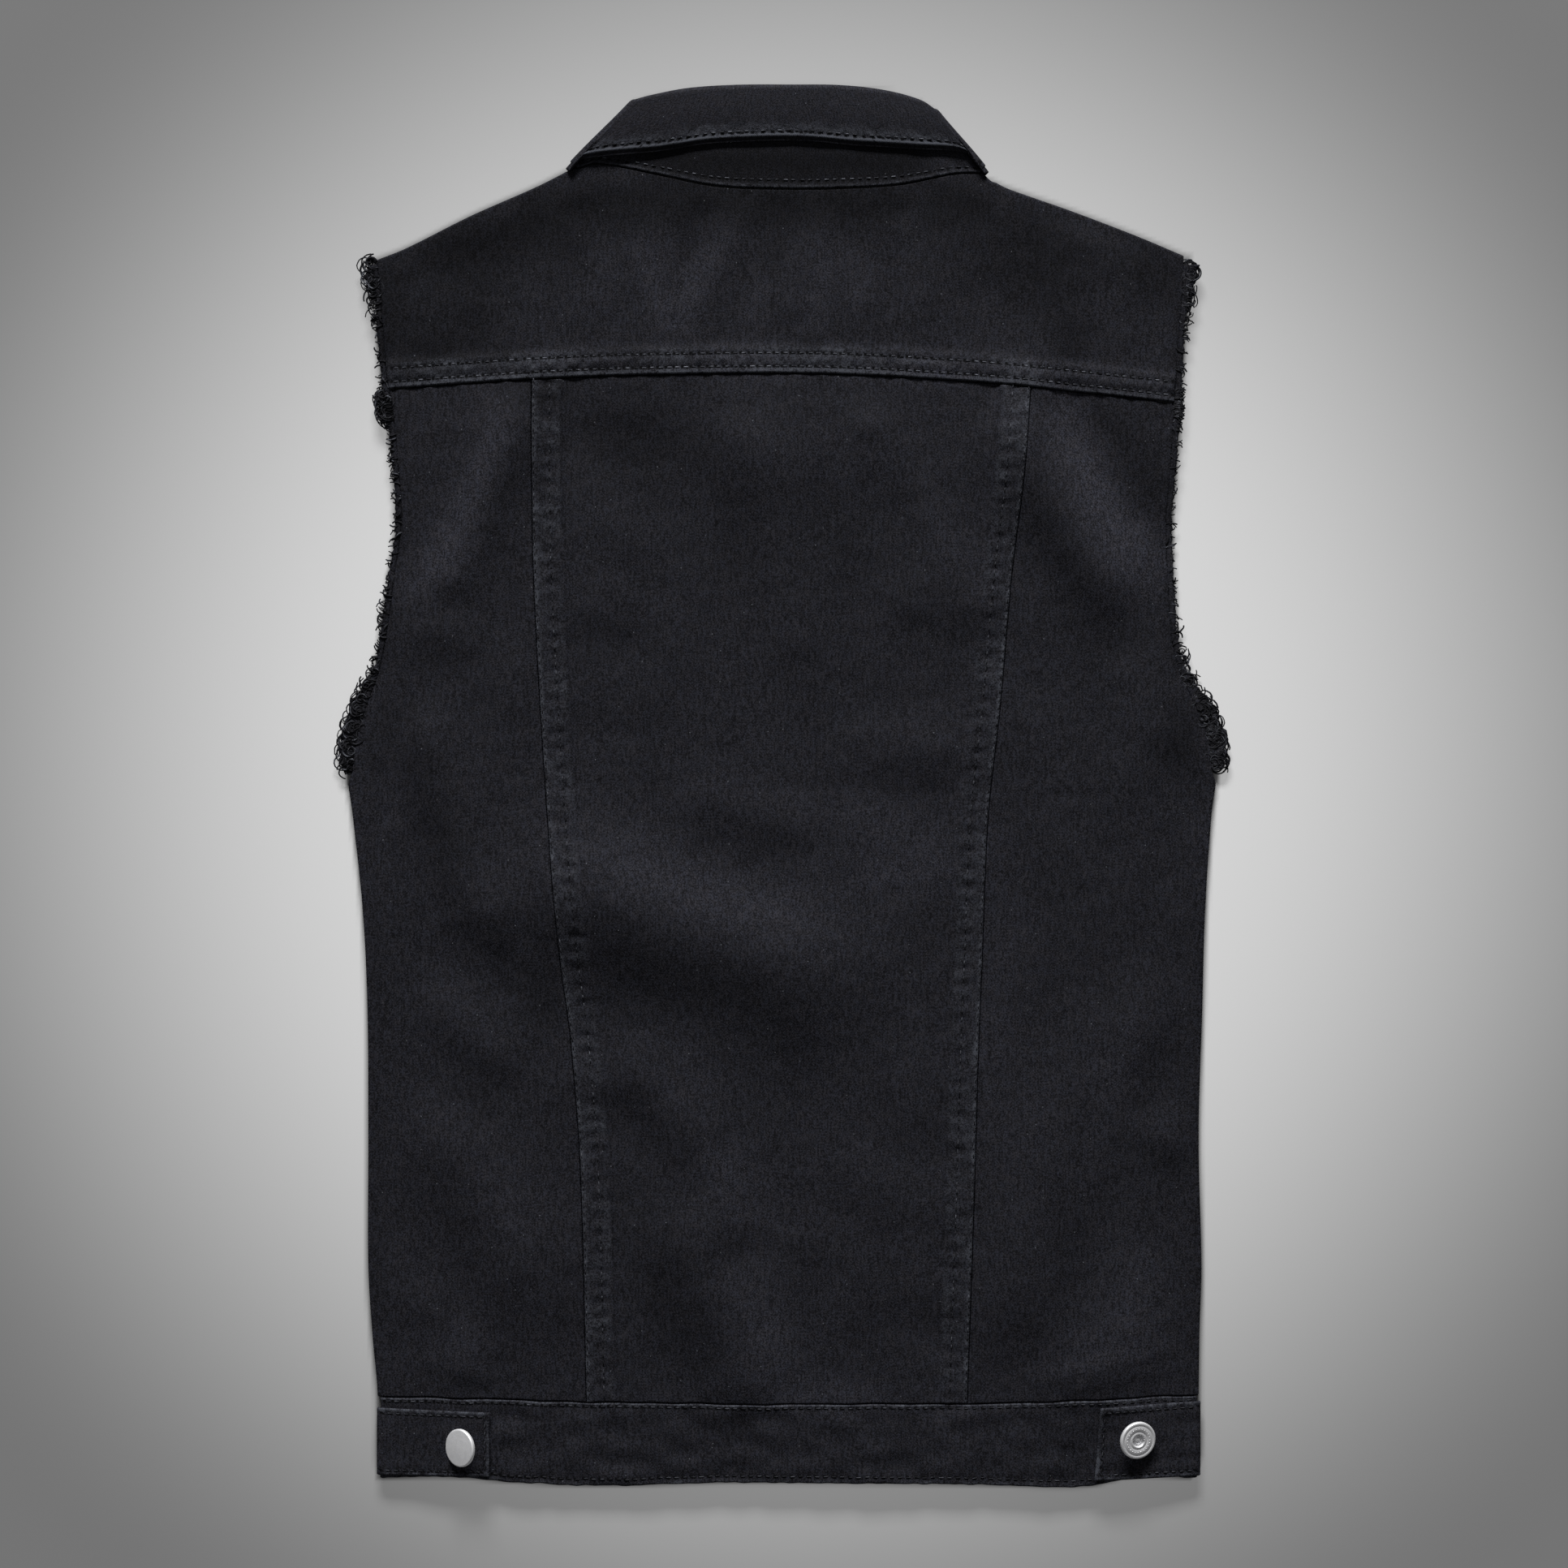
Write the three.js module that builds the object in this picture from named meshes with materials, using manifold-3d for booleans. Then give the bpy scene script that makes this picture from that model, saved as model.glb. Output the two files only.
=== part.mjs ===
// A sleeveless black denim vest, laid face down on a flat surface with its back showing.
// Millimetres. +X runs to the right across the back, +Y from hem to collar, +Z up from the surface.
// The origin is on the surface, under the middle of the laid garment.
// Every cloth piece is a thin closed wall: a grid of points on its middle layer, moved out and in.
import * as THREE from "three";
import Module from "manifold-3d";
import { mergeVertices } from "three/addons/utils/BufferGeometryUtils.js";

// Cloth and seams
const CLOTH = 1.2; // one ply of heavy denim with its seam play
const BAND = 1.8; // waistband, two plies
const COLLAR = 1.6; // collar leaf and stand, two plies
const TAB = 1.8; // waist tab, two plies
const SEAM_GAP = 0.3; // between neighbouring pieces
const LAID_GAP = 0.45; // between a piece and what is laid on it
const CURVED_GAP = 0.45; // the same, where the two edges follow one curve in different steps
const CLOSE_GAP = 0.6; // between the middle layers of two turned edges that meet
const FELL_RISE = 1.3; // how far the felled yoke seam stands above the panels under it
const FELL_WIDE = 13; // width of the felled yoke seam
const RIB_RISE = 0.7; // how far the seam allowance lifts the centre panel's edges
const RIB_WIDE = 15; // width of that lifted edge
const STEP_DOWN = 2; // width over which a lifted edge drops to the cloth beside it

// Heights of the laid layers above the surface
const EDGE_TOP = 3.55; // top of the back layer where it turns down at the sides and shoulders
const BACK_TOP = 6.3; // top of the back layer away from its edges
const EDGE_SOFT = 45; // how far in from an edge the back reaches its full height
const TAB_SPARE = 1.5; // how far the tabs reach past the band's side folds
const BAND_RISE = 0.9; // how far the waistband stands above the back panels
const BUTTON_LIFT = 1.75; // how far the front buttons hold the front edges off the surface
const COLLAR_LIFT = 2.2; // how far the collar leaves hold the fronts off the surface
const LIFT_FROM = 125; // height up the front at which the collar starts to lift it
const LIFT_LONG = 50; // length over which it rises
const OVERLAP_LIFT = 1.5; // step of the upper front edge over the lower one
const BAND_OVER_SHARE = 1.4; // the same step at the waistband, over its own thicker end

// Fronts
const PLACKET_HALF = 17; // half the width of the button band
const BUTTON = 20; // diameter of the tack buttons
const FRONT_BUTTONS_AT = [205, 85, -35, -155, -275];
const BAND_BUTTON_AT = -347;

// Outline of the back as it lies: the cloth's edge on the left and right at each height.
// Below the underarm it is the side seam, above it the raw armhole.
const UNDERARM = 6;
const SHOULDER_TIP = 279;
const BACK_EDGE = [
  { y: -367, left: -215, right: 215 },
  { y: -358, left: -216, right: 220 },
  { y: -324, left: -216, right: 220 },
  { y: -289, left: -219, right: 220.5 },
  { y: -255, left: -221, right: 221.5 },
  { y: -186, left: -221, right: 220 },
  { y: -117, left: -221.5, right: 222 },
  { y: -66, left: -224, right: 223.5 },
  { y: -14, left: -229.5, right: 227 },
  { y: 6, left: -232, right: 229.5 },
  { y: 28, left: -229, right: 227 },
  { y: 46, left: -223, right: 219 },
  { y: 60, left: -218, right: 212.5 },
  { y: 80, left: -214, right: 208 },
  { y: 106, left: -210.5, right: 206.5 },
  { y: 140, left: -206, right: 205.5 },
  { y: 175, left: -208, right: 208 },
  { y: 203, left: -211, right: 209.5 },
  { y: 216, left: -213.5, right: 210.5 },
  { y: 240, left: -215.5, right: 212 },
  { y: 262, left: -217, right: 214 },
  { y: 279, left: -219, right: 214.5 },
];
// The raw armholes of the fronts are cut deeper, so they lie inside the back's.
const FRONT_EDGE = [
  { y: 6, left: -232, right: 229.5 },
  { y: 30, left: -222, right: 219 },
  { y: 50, left: -209, right: 206 },
  { y: 90, left: -197, right: 194 },
  { y: 140, left: -192, right: 190 },
  { y: 190, left: -194, right: 191 },
  { y: 240, left: -205, right: 201 },
  { y: 279, left: -218, right: 213 },
];
// Shoulder line, from the raw edge to the neck on both sides.
const SHOULDER = [
  { x: -219, y: 277.5 },
  { x: -201, y: 284.5 },
  { x: -166, y: 302 },
  { x: -132, y: 317 },
  { x: -116, y: 325 },
  { x: 109, y: 320.5 },
  { x: 118, y: 316.5 },
  { x: 152, y: 304.5 },
  { x: 186, y: 291.5 },
  { x: 214.5, y: 279.5 },
];
const YOKE_SEAM = [
  { x: -216, y: 209.5 },
  { x: -160, y: 213.5 },
  { x: -90, y: 217 },
  { x: 16, y: 218 },
  { x: 98, y: 214 },
  { x: 160, y: 208 },
  { x: 210, y: 202.5 },
];
// Seams between the centre panel and the side panels.
const PANEL_SEAM = [
  { y: -328, left: -105, right: 97 },
  { y: -208, left: -108, right: 101 },
  { y: -139, left: -113, right: 103 },
  { y: -91, left: -119, right: 105 },
  { y: -18, left: -125.5, right: 108 },
  { y: 42, left: -129.5, right: 114.5 },
  { y: 110, left: -133, right: 120.5 },
  { y: 160, left: -134, right: 126.5 },
  { y: 216, left: -134, right: 131 },
];
const BAND_TOP = [
  { x: -216, y: -324.5 },
  { x: -158, y: -325.5 },
  { x: -97, y: -327.5 },
  { x: 92, y: -328 },
  { x: 160, y: -326.2 },
  { x: 192, y: -324.7 },
  { x: 220, y: -324.2 },
];
const BAND_FOOT = [
  { x: -216, y: -367.5 },
  { x: -179, y: -366.5 },
  { x: -140, y: -369.5 },
  { x: -97, y: -371 },
  { x: -28, y: -369.5 },
  { x: 100, y: -370.5 },
  { x: 160, y: -371.5 },
  { x: 187, y: -366 },
  { x: 220, y: -367.5 },
];

// Collar, as it lies: fold is the roll at the top, leaf the free edge, neck the seam to the body.
// Each row is a station across the back from the left side line (-1) to the right one (1).
const COLLAR_BACK = [
  { u: -1, foldX: -80, foldY: 361.5, leafX: -111, leafY: 328.5, neckX: -109.5, neckY: 327 },
  { u: -0.84, foldX: -71, foldY: 364, leafX: -104, leafY: 334, neckX: -98, neckY: 329.5 },
  { u: -0.6, foldX: -52, foldY: 367.3, leafX: -66, leafY: 338, neckX: -66, neckY: 323.5 },
  { u: -0.3, foldX: -28, foldY: 368.9, leafX: -38, leafY: 342, neckX: -36, neckY: 317.5 },
  { u: 0, foldX: 2, foldY: 369, leafX: 5, leafY: 343.5, neckX: 0, neckY: 316 },
  { u: 0.3, foldX: 30, foldY: 368.8, leafX: 38, leafY: 341, neckX: 34, neckY: 316.5 },
  { u: 0.6, foldX: 54, foldY: 366.2, leafX: 70, leafY: 339, neckX: 62, neckY: 318.5 },
  { u: 0.84, foldX: 72, foldY: 361.5, leafX: 95, leafY: 336.5, neckX: 90, neckY: 324 },
  { u: 1, foldX: 80, foldY: 356.5, leafX: 104, leafY: 326.5, neckX: 103, neckY: 324.5 },
];
// The same lines under the garment, from a side line (0) to the centre front (1), for the left half.
const COLLAR_FRONT = [
  { u: 0, foldX: 80, foldY: 361.5, leafX: 111, leafY: 328.5, neckX: 109.5, neckY: 327 },
  { u: 0.3, foldX: 66, foldY: 326, leafX: 112, leafY: 290, neckX: 98, neckY: 288 },
  { u: 0.6, foldX: 42, foldY: 288, leafX: 98, leafY: 240, neckX: 70, neckY: 259 },
  { u: 0.85, foldX: 18, foldY: 268, leafX: 76, leafY: 206, neckX: 34, neckY: 246 },
  { u: 1, foldX: 3, foldY: 264, leafX: 62, leafY: 190, neckX: 3, neckY: 243 },
];
const NECK_POINT = { left: -113, right: 106 };
const STAND_SHARE = 0.55; // how much of the way from neck to fold is stand
const STAND_FRONT = 3.1; // height of the stand's middle layer under the garment
const LEAF_FRONT = 0.8; // height of the leaf's middle layer under the garment
const STAND_DROP = 0.5; // the stand's middle layer below the top of the yoke at the neck seam
const STAND_FOLD = 6.1; // height of the stand's middle layer at the fold
const LEAF_FOLD = 9.1; // height of the leaf's middle layer by the fold
const LEAF_EDGE = 8.8; // height of the leaf's middle layer at its free edge

// Largest folds of the back: soft ridges from (x1, y1) to (x2, y2), bowed sideways at their middle.
const FOLDS = [
  { x1: -135, y1: -50, x2: 48, y2: -108, bow: 3, wide: 18, high: 4.6 },
  { x1: 28, y1: 20, x2: 98, y2: 16, bow: 0, wide: 14, high: 2.2 },
  { x1: -45, y1: -8, x2: 15, y2: -26, bow: 0, wide: 12, high: 1.6 },
  { x1: 34, y1: -36, x2: 96, y2: -62, bow: 0, wide: 15, high: 2.2 },
  { x1: -184, y1: 24, x2: -142, y2: -64, bow: -6, wide: 13, high: 2.6 },
  { x1: -168, y1: -64, x2: -118, y2: -52, bow: 0, wide: 14, high: 2.3 },
  { x1: -194, y1: -170, x2: -134, y2: -264, bow: 5, wide: 13, high: 2.3 },
  { x1: -96, y1: -146, x2: -38, y2: -192, bow: 6, wide: 16, high: 2.5 },
  { x1: -48, y1: -186, x2: -28, y2: -242, bow: 2, wide: 16, high: 2.2 },
  { x1: -72, y1: -228, x2: -18, y2: -320, bow: 3, wide: 16, high: 3.2 },
  { x1: 166, y1: -116, x2: 106, y2: -288, bow: -8, wide: 17, high: 2.1 },
  { x1: 216, y1: -262, x2: 150, y2: -318, bow: -4, wide: 17, high: 2.3 },
  { x1: 118, y1: 200, x2: 190, y2: 86, bow: -6, wide: 16, high: 3.4 },
  { x1: -150, y1: 190, x2: -187, y2: 90, bow: 4, wide: 14, high: 2.5 },
  { x1: -40, y1: 178, x2: 56, y2: 170, bow: 0, wide: 16, high: 1.8 },
  { x1: 58, y1: 100, x2: 112, y2: 94, bow: 0, wide: 14, high: 1.5 },
];

// Waist tabs and their buttons. The button's cap leans by lean degrees about a line in the cloth.
const TABS = {
  left: { end: -156, endFoot: -156, top: -332, foot: -366, outerTop: -330, outerFoot: -365.5 },
  right: { end: 167, endFoot: 164, top: -329.3, foot: -368, outerTop: -326.5, outerFoot: -366 },
};
const TAB_BUTTONS = {
  left: { x: -171.7, y: -350.8, lean: 26, about: 0 },
  right: { x: 187, y: -347, lean: 14, about: -24 },
};

// Frayed armhole edges: a narrow strip parted from the cloth, and loose threads rooted in it.
const STRIP = 2; // width of the strip
const STRIP_THICK = 1;
const THREAD = 0.8; // thickness of a lock of threads
const LONG_LOCK = 3.5; // locks longer than this are bent at the middle
const YOKE_BED = [203, 216, 228, 240, 252, 264]; // the strip's rows beside the yoke
const FRAY_BACK = [
  { y: 8, left: 4, right: 4 },
  { y: 22, left: 9.5, right: 11 },
  { y: 34, left: 9.5, right: 14 },
  { y: 46, left: 7, right: 10 },
  { y: 58, left: 4.5, right: 7 },
  { y: 76, left: 3.5, right: 7 },
  { y: 96, left: 6, right: 3 },
  { y: 120, left: 2.5, right: 2.5 },
  { y: 198, left: 2.5, right: 2.5 },
  { y: 205, left: 9, right: 2.5 },
  { y: 214, left: 4, right: 2.5 },
  { y: 240, left: 2.5, right: 3.5 },
  { y: 262, left: 7, right: 5 },
  { y: 279, left: 15, right: 9 },
];
const FRAY_FRONT = [
  { y: 8, left: 4, right: 4 },
  { y: 279, left: 4, right: 4 },
];

const BLACK_DENIM = new THREE.MeshStandardMaterial({ color: 0x1f1f23, roughness: 0.95, metalness: 0 });
const FRAYED_THREAD = new THREE.MeshStandardMaterial({ color: 0x17171a, roughness: 1, metalness: 0 });
const SILVER_METAL = new THREE.MeshStandardMaterial({ color: 0xe4e4e6, roughness: 0.35, metalness: 0.8 });

const lerp = (a, b, t) => a + (b - a) * t;
const smooth = (t) => {
  const s = Math.min(1, Math.max(0, t));
  return s * s * (3 - 2 * s);
};

// A column of a table at a station, as a smooth curve through its rows.
function curveAt(rows, by, column, station) {
  const last = rows.length - 1;
  const s = Math.min(rows[last][by], Math.max(rows[0][by], station));
  let i = 0;
  while (i < last - 1 && s > rows[i + 1][by]) i += 1;
  const slope = (k) => {
    const a = rows[Math.max(0, k - 1)];
    const b = rows[Math.min(last, k + 1)];
    return (b[column] - a[column]) / (b[by] - a[by]);
  };
  const span = rows[i + 1][by] - rows[i][by];
  const t = (s - rows[i][by]) / span;
  const p = rows[i][column];
  const q = rows[i + 1][column];
  const m = slope(i) * span;
  const n = slope(i + 1) * span;
  return (
    (2 * t ** 3 - 3 * t ** 2 + 1) * p +
    (t ** 3 - 2 * t ** 2 + t) * m +
    (3 * t ** 2 - 2 * t ** 3) * q +
    (t ** 3 - t ** 2) * n
  );
}

// A column of a table at a station, with straight lines between its rows.
function lineAt(rows, by, column, station) {
  const last = rows.length - 1;
  const s = Math.min(rows[last][by], Math.max(rows[0][by], station));
  let i = 0;
  while (i < last - 1 && s > rows[i + 1][by]) i += 1;
  return lerp(rows[i][column], rows[i + 1][column], (s - rows[i][by]) / (rows[i + 1][by] - rows[i][by]));
}

// How far the fronts lie off the surface: over the collar leaves and over the buttons.
function frontFoot(x, y) {
  const overCollar = smooth((y - LIFT_FROM) / LIFT_LONG);
  const overButtons = smooth(1 - (Math.abs(x) - PLACKET_HALF) / 28) * (BUTTON_LIFT / COLLAR_LIFT);
  return COLLAR_LIFT * (1 - (1 - overCollar) * (1 - overButtons));
}
const overlapStep = (x) => OVERLAP_LIFT * smooth(1 - (x - PLACKET_HALF) / 18);

const shoulderAt = (x) => {
  if (x > NECK_POINT.left && x < NECK_POINT.right) return curveAt(SHOULDER, "x", "y", x) + 60;
  return curveAt(x < 0 ? SHOULDER.slice(0, 5) : SHOULDER.slice(5), "x", "y", x);
};
const edgeAt = (y, side) => curveAt(BACK_EDGE, "y", side < 0 ? "left" : "right", y);

// Height that one fold adds at a point.
function foldHeight(fold, x, y) {
  const dx = fold.x2 - fold.x1;
  const dy = fold.y2 - fold.y1;
  const long = Math.hypot(dx, dy);
  const t = ((x - fold.x1) * dx + (y - fold.y1) * dy) / long ** 2;
  const across = ((y - fold.y1) * dx - (x - fold.x1) * dy) / long - fold.bow * 4 * t * (1 - t);
  const fade = fold.wide / long;
  const ends = smooth((t + fade) / (2 * fade)) * smooth((1 + fade - t) / (2 * fade));
  return fold.high * ends * Math.exp(-((across / fold.wide) ** 2));
}

// Top of the back layer.
function backTop(x, y) {
  const side = Math.abs(edgeAt(y, x)) - Math.abs(x);
  const shoulder = shoulderAt(x) - y;
  const rise = smooth(side / EDGE_SOFT) * smooth(shoulder / EDGE_SOFT);
  const edge = EDGE_TOP + frontFoot(x, y);
  const folds = FOLDS.reduce((sum, fold) => sum + foldHeight(fold, x, y), 0);
  const closed = 0.6 * Math.exp(-((x / 40) ** 2));
  return edge + (BACK_TOP + closed - edge + folds) * rise;
}

const point = (x, y, z) => new THREE.Vector3(x, y, z);

// A closed wall from a grid of points on its middle layer, grid[i][j], whose outer side is the
// one that the i direction turns towards the j direction about. out and into are its two depths.
function wall(grid, out, into = out) {
  const columns = grid.length;
  const rows = grid[0].length;
  const normal = (i, j) => {
    const u = grid[Math.min(columns - 1, i + 1)][j].clone().sub(grid[Math.max(0, i - 1)][j]);
    const v = grid[i][Math.min(rows - 1, j + 1)].clone().sub(grid[i][Math.max(0, j - 1)]);
    return u.cross(v).normalize();
  };
  const depth = (d, i, j) => (typeof d === "function" ? d(i, j) : d);
  const positions = [];
  const layer = (d, sign) =>
    grid.forEach((line, i) =>
      line.forEach((p, j) => {
        const q = p.clone().addScaledVector(normal(i, j), sign * depth(d, i, j));
        positions.push(q.x, q.y, q.z);
      }),
    );
  layer(out, 1);
  layer(into, -1);
  const outer = (i, j) => i * rows + j;
  const inner = (i, j) => columns * rows + i * rows + j;
  const faces = [];
  const quad = (a, b, c, d) => faces.push(a, b, c, a, c, d);
  for (let i = 0; i < columns - 1; i += 1)
    for (let j = 0; j < rows - 1; j += 1) {
      quad(outer(i, j), outer(i + 1, j), outer(i + 1, j + 1), outer(i, j + 1));
      quad(inner(i, j), inner(i, j + 1), inner(i + 1, j + 1), inner(i + 1, j));
    }
  for (let i = 0; i < columns - 1; i += 1) {
    quad(inner(i, 0), inner(i + 1, 0), outer(i + 1, 0), outer(i, 0));
    quad(outer(i, rows - 1), outer(i + 1, rows - 1), inner(i + 1, rows - 1), inner(i, rows - 1));
  }
  for (let j = 0; j < rows - 1; j += 1) {
    quad(outer(0, j), outer(0, j + 1), inner(0, j + 1), inner(0, j));
    quad(inner(columns - 1, j), inner(columns - 1, j + 1), outer(columns - 1, j + 1), outer(columns - 1, j));
  }
  const geometry = new THREE.BufferGeometry();
  geometry.setAttribute("position", new THREE.Float32BufferAttribute(positions, 3));
  geometry.setIndex(faces);
  return geometry;
}

// Where a wall turns through a quarter circle at a side or shoulder: how far a share of the turn
// goes outwards and how far it goes towards the other layer. turn is 1 for a full quarter.
function quarter(radius, turn, share) {
  const reach = (radius * Math.PI) / 2;
  const along = share * reach;
  const bend = Math.max(1e-4, turn) / radius;
  return { over: Math.sin(bend * along) / bend, down: (1 - Math.cos(bend * along)) / bend };
}
const TURN = [0.4, 0.8, 1];
const turnRadius = (top, thick) => (top - thick - CLOSE_GAP) / 2;
const turnStart = (radius, thick, turn) => lerp((radius * Math.PI) / 2, radius + thick / 2, turn);
const sideTurn = (y) => smooth((UNDERARM + 2 - y) / 8);
const steps = (n) => Array.from({ length: n + 1 }, (_, k) => k / n);

const vest = new THREE.Group();
function add(name, geometry, material) {
  const mesh = new THREE.Mesh(geometry, material);
  mesh.name = name;
  vest.add(mesh);
  return mesh;
}

const yokeSeam = (x) => curveAt(YOKE_SEAM, "x", "y", x);
const bandTopEdge = (x) => curveAt(BAND_TOP, "x", "y", x);
const neckSeam = (x) => curveAt(COLLAR_BACK, "neckX", "neckY", x);
const rawInset = STRIP + 3 * SEAM_GAP;

// Back yoke: one piece across the shoulders, its foot edge felled over the panels.
const shoulderTurn = (x) => smooth((NECK_POINT.left + 1 - x) / 7) + smooth((x - NECK_POINT.right + 1) / 7);
const YOKE_STATIONS = [
  -219, -206, -190, -172, -154, -136, -124, -117, -110, -98, -82, -64, -46, -24, 0,
  24, 46, 64, 82, 96, 104, 111, 119, 132, 150, 168, 186, 202, 214.5,
];
const YOKE_FELL = [0, FELL_WIDE / 2, FELL_WIDE];
const YOKE_ROWS = [0, 0.16, 0.33, 0.51, 0.7, 0.87, 1];
function backYoke() {
  const grid = YOKE_STATIONS.map((station) => {
    const turn = shoulderTurn(station);
    const radius = turnRadius(EDGE_TOP, CLOTH);
    const tip = Math.abs(edgeAt(SHOULDER_TIP, station));
    const place = (y) => (station / tip) * (Math.abs(edgeAt(y, station)) - rawInset);
    const across = place(SHOULDER_TIP);
    const top = turn < 0.5 ? neckSeam(across) - 3 * SEAM_GAP : shoulderAt(across);
    const last = top - turnStart(radius, CLOTH, turn);
    const seam = yokeSeam(place(YOKE_SEAM[0].y));
    const plain = YOKE_ROWS.map((share) => lerp(seam + FELL_WIDE + STEP_DOWN, last, share));
    const line = [...YOKE_FELL.map((up) => seam + up), ...plain].map((y) => {
      const x = place(y);
      return point(x, y, backTop(x, y) - CLOTH / 2);
    });
    const z = line[line.length - 1].z;
    TURN.forEach((share) => {
      const { over, down } = quarter(radius, turn, share);
      line.push(point(place(last), last + over, z - down));
    });
    return line;
  });
  const fell = (i, j) => CLOTH / 2 + (j < YOKE_FELL.length ? FELL_RISE : 0);
  return wall(grid, fell, CLOTH / 2);
}

// Back panels: a centre panel whose two edges are lifted by the seam allowance, and two sides.
const PANEL_ROWS = [
  -326, -302, -278, -254, -230, -206, -182, -158, -134, -110, -88, -66, -44, -22, -4, 6,
  16, 26, 36, 46, 56, 66, 80, 96, 116, 140, 165, 190, 215,
];
const rowsBetween = (foot, head) =>
  PANEL_ROWS.map((y, k) => (k === 0 ? foot : k === PANEL_ROWS.length - 1 ? head : y));
const panelSeam = (y, side) => curveAt(PANEL_SEAM, "y", side < 0 ? "left" : "right", y);
function centrePanel() {
  const middle = steps(8).map((t) => lerp(0.03, 0.97, t));
  const ribFoot = RIB_WIDE + STEP_DOWN;
  const columns = [0, RIB_WIDE, ribFoot, ...middle, -ribFoot, -RIB_WIDE, 0];
  const rib = (i) => (i < 2 || i > columns.length - 3 ? RIB_RISE : 0);
  const across = (i, y) => {
    const left = panelSeam(y, -1) + CURVED_GAP / 2;
    const right = panelSeam(y, 1) - CURVED_GAP / 2;
    if (i < 3) return left + columns[i];
    if (i > columns.length - 4) return right + columns[i];
    return lerp(left + ribFoot, right - ribFoot, columns[i]);
  };
  const grid = columns.map((_, i) => {
    const foot = bandTopEdge(across(i, -326)) + CURVED_GAP;
    const head = yokeSeam(across(i, 215)) - CURVED_GAP;
    return rowsBetween(foot, head).map((y) => {
      const x = across(i, y);
      return point(x, y, backTop(x, y) - CLOTH / 2);
    });
  });
  return wall(grid, (i) => CLOTH / 2 + rib(i), CLOTH / 2);
}
function sidePanel(side) {
  const radius = turnRadius(EDGE_TOP, CLOTH);
  const place = (column, y) => {
    const turn = sideTurn(y);
    const raw = side * rawInset * (1 - turn);
    const start = edgeAt(y, side) - raw - side * turnStart(radius, CLOTH, turn);
    return lerp(panelSeam(y, side) + (side * SEAM_GAP) / 2, start, Math.min(1, column));
  };
  const grid = [...steps(5), ...TURN.map((t) => 1 + t)].map((column) => {
    const foot = bandTopEdge(place(column, -325)) + CURVED_GAP;
    const head = yokeSeam(place(column, 208)) - CURVED_GAP;
    return rowsBetween(foot, head).map((y) => {
      const x = place(column, y);
      const z = backTop(x, y) - CLOTH / 2;
      if (column <= 1) return point(x, y, z);
      const { over, down } = quarter(radius, sideTurn(y), column - 1);
      return point(x + side * over, y, z - down);
    });
  });
  if (side < 0) grid.reverse();
  return wall(grid, CLOTH / 2);
}

// Waistband: a back piece and two front pieces that meet it at the side seams.
const BAND_STATIONS = [
  1, 0.965, 0.93, 0.86, 0.79, 0.745, 0.66, 0.55, 0.44, 0.33, 0.22, 0.11, 0,
];
const bandTop = (x, y) => backTop(x, Math.max(y, -358)) + BAND_RISE;
const BAND_EDGE_TOP = EDGE_TOP + BAND_RISE;
const bandRadius = turnRadius(BAND_EDGE_TOP, BAND);
const bandStart = (side) => Math.abs(edgeAt(-340, side)) - TAB_SPARE - bandRadius - BAND / 2;
const bandRow = (x, share) => lerp(curveAt(BAND_FOOT, "x", "y", x), bandTopEdge(x), share);
function backBand() {
  const stations = [
    ...BAND_STATIONS.map((s) => -s * bandStart(-1)),
    ...BAND_STATIONS.slice(0, -1).reverse().map((s) => s * bandStart(1)),
  ];
  const line = (x) =>
    steps(3).map((share) => {
      const y = bandRow(x, share);
      return point(x, y, bandTop(x, y) - BAND / 2);
    });
  const turned = (x, side) =>
    TURN.map((share) => {
      const { over, down } = quarter(bandRadius, 1, share);
      return line(x).map((p) => point(p.x + side * over, p.y, p.z - down));
    });
  const left = turned(stations[0], -1).reverse();
  const right = turned(stations[stations.length - 1], 1);
  return wall([...left, ...stations.map(line), ...right], BAND / 2);
}
const frontLift = (x, y, side) => frontFoot(x, y) + (side > 0 ? overlapStep(x) : 0);
function frontBand(side) {
  const start = bandStart(side);
  const line = (x) =>
    steps(2).map((share) => {
      const y = bandRow(x, share);
      const over = side > 0 ? overlapStep(x) * BAND_OVER_SHARE : 0;
      return point(x, y, frontFoot(x, y) + over + BAND / 2);
    });
  const turned = [...TURN].reverse().map((share) => {
    const { over, down } = quarter(bandRadius, 1, share);
    return line(side * start).map((p) => point(p.x + side * over, p.y, p.z + down));
  });
  const outer = [1, 0.9, 0.75, 0.6, 0.45, 0.32, 0.24].map((s) => side * s * start);
  const near = [40, 30, 22, PLACKET_HALF, 8, 0, -8, 1 - PLACKET_HALF].map((x) => side * x);
  const grid = [...turned, ...outer.map(line), ...near.map(line)];
  if (side < 0) grid.reverse();
  return wall(grid, BAND / 2);
}

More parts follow.
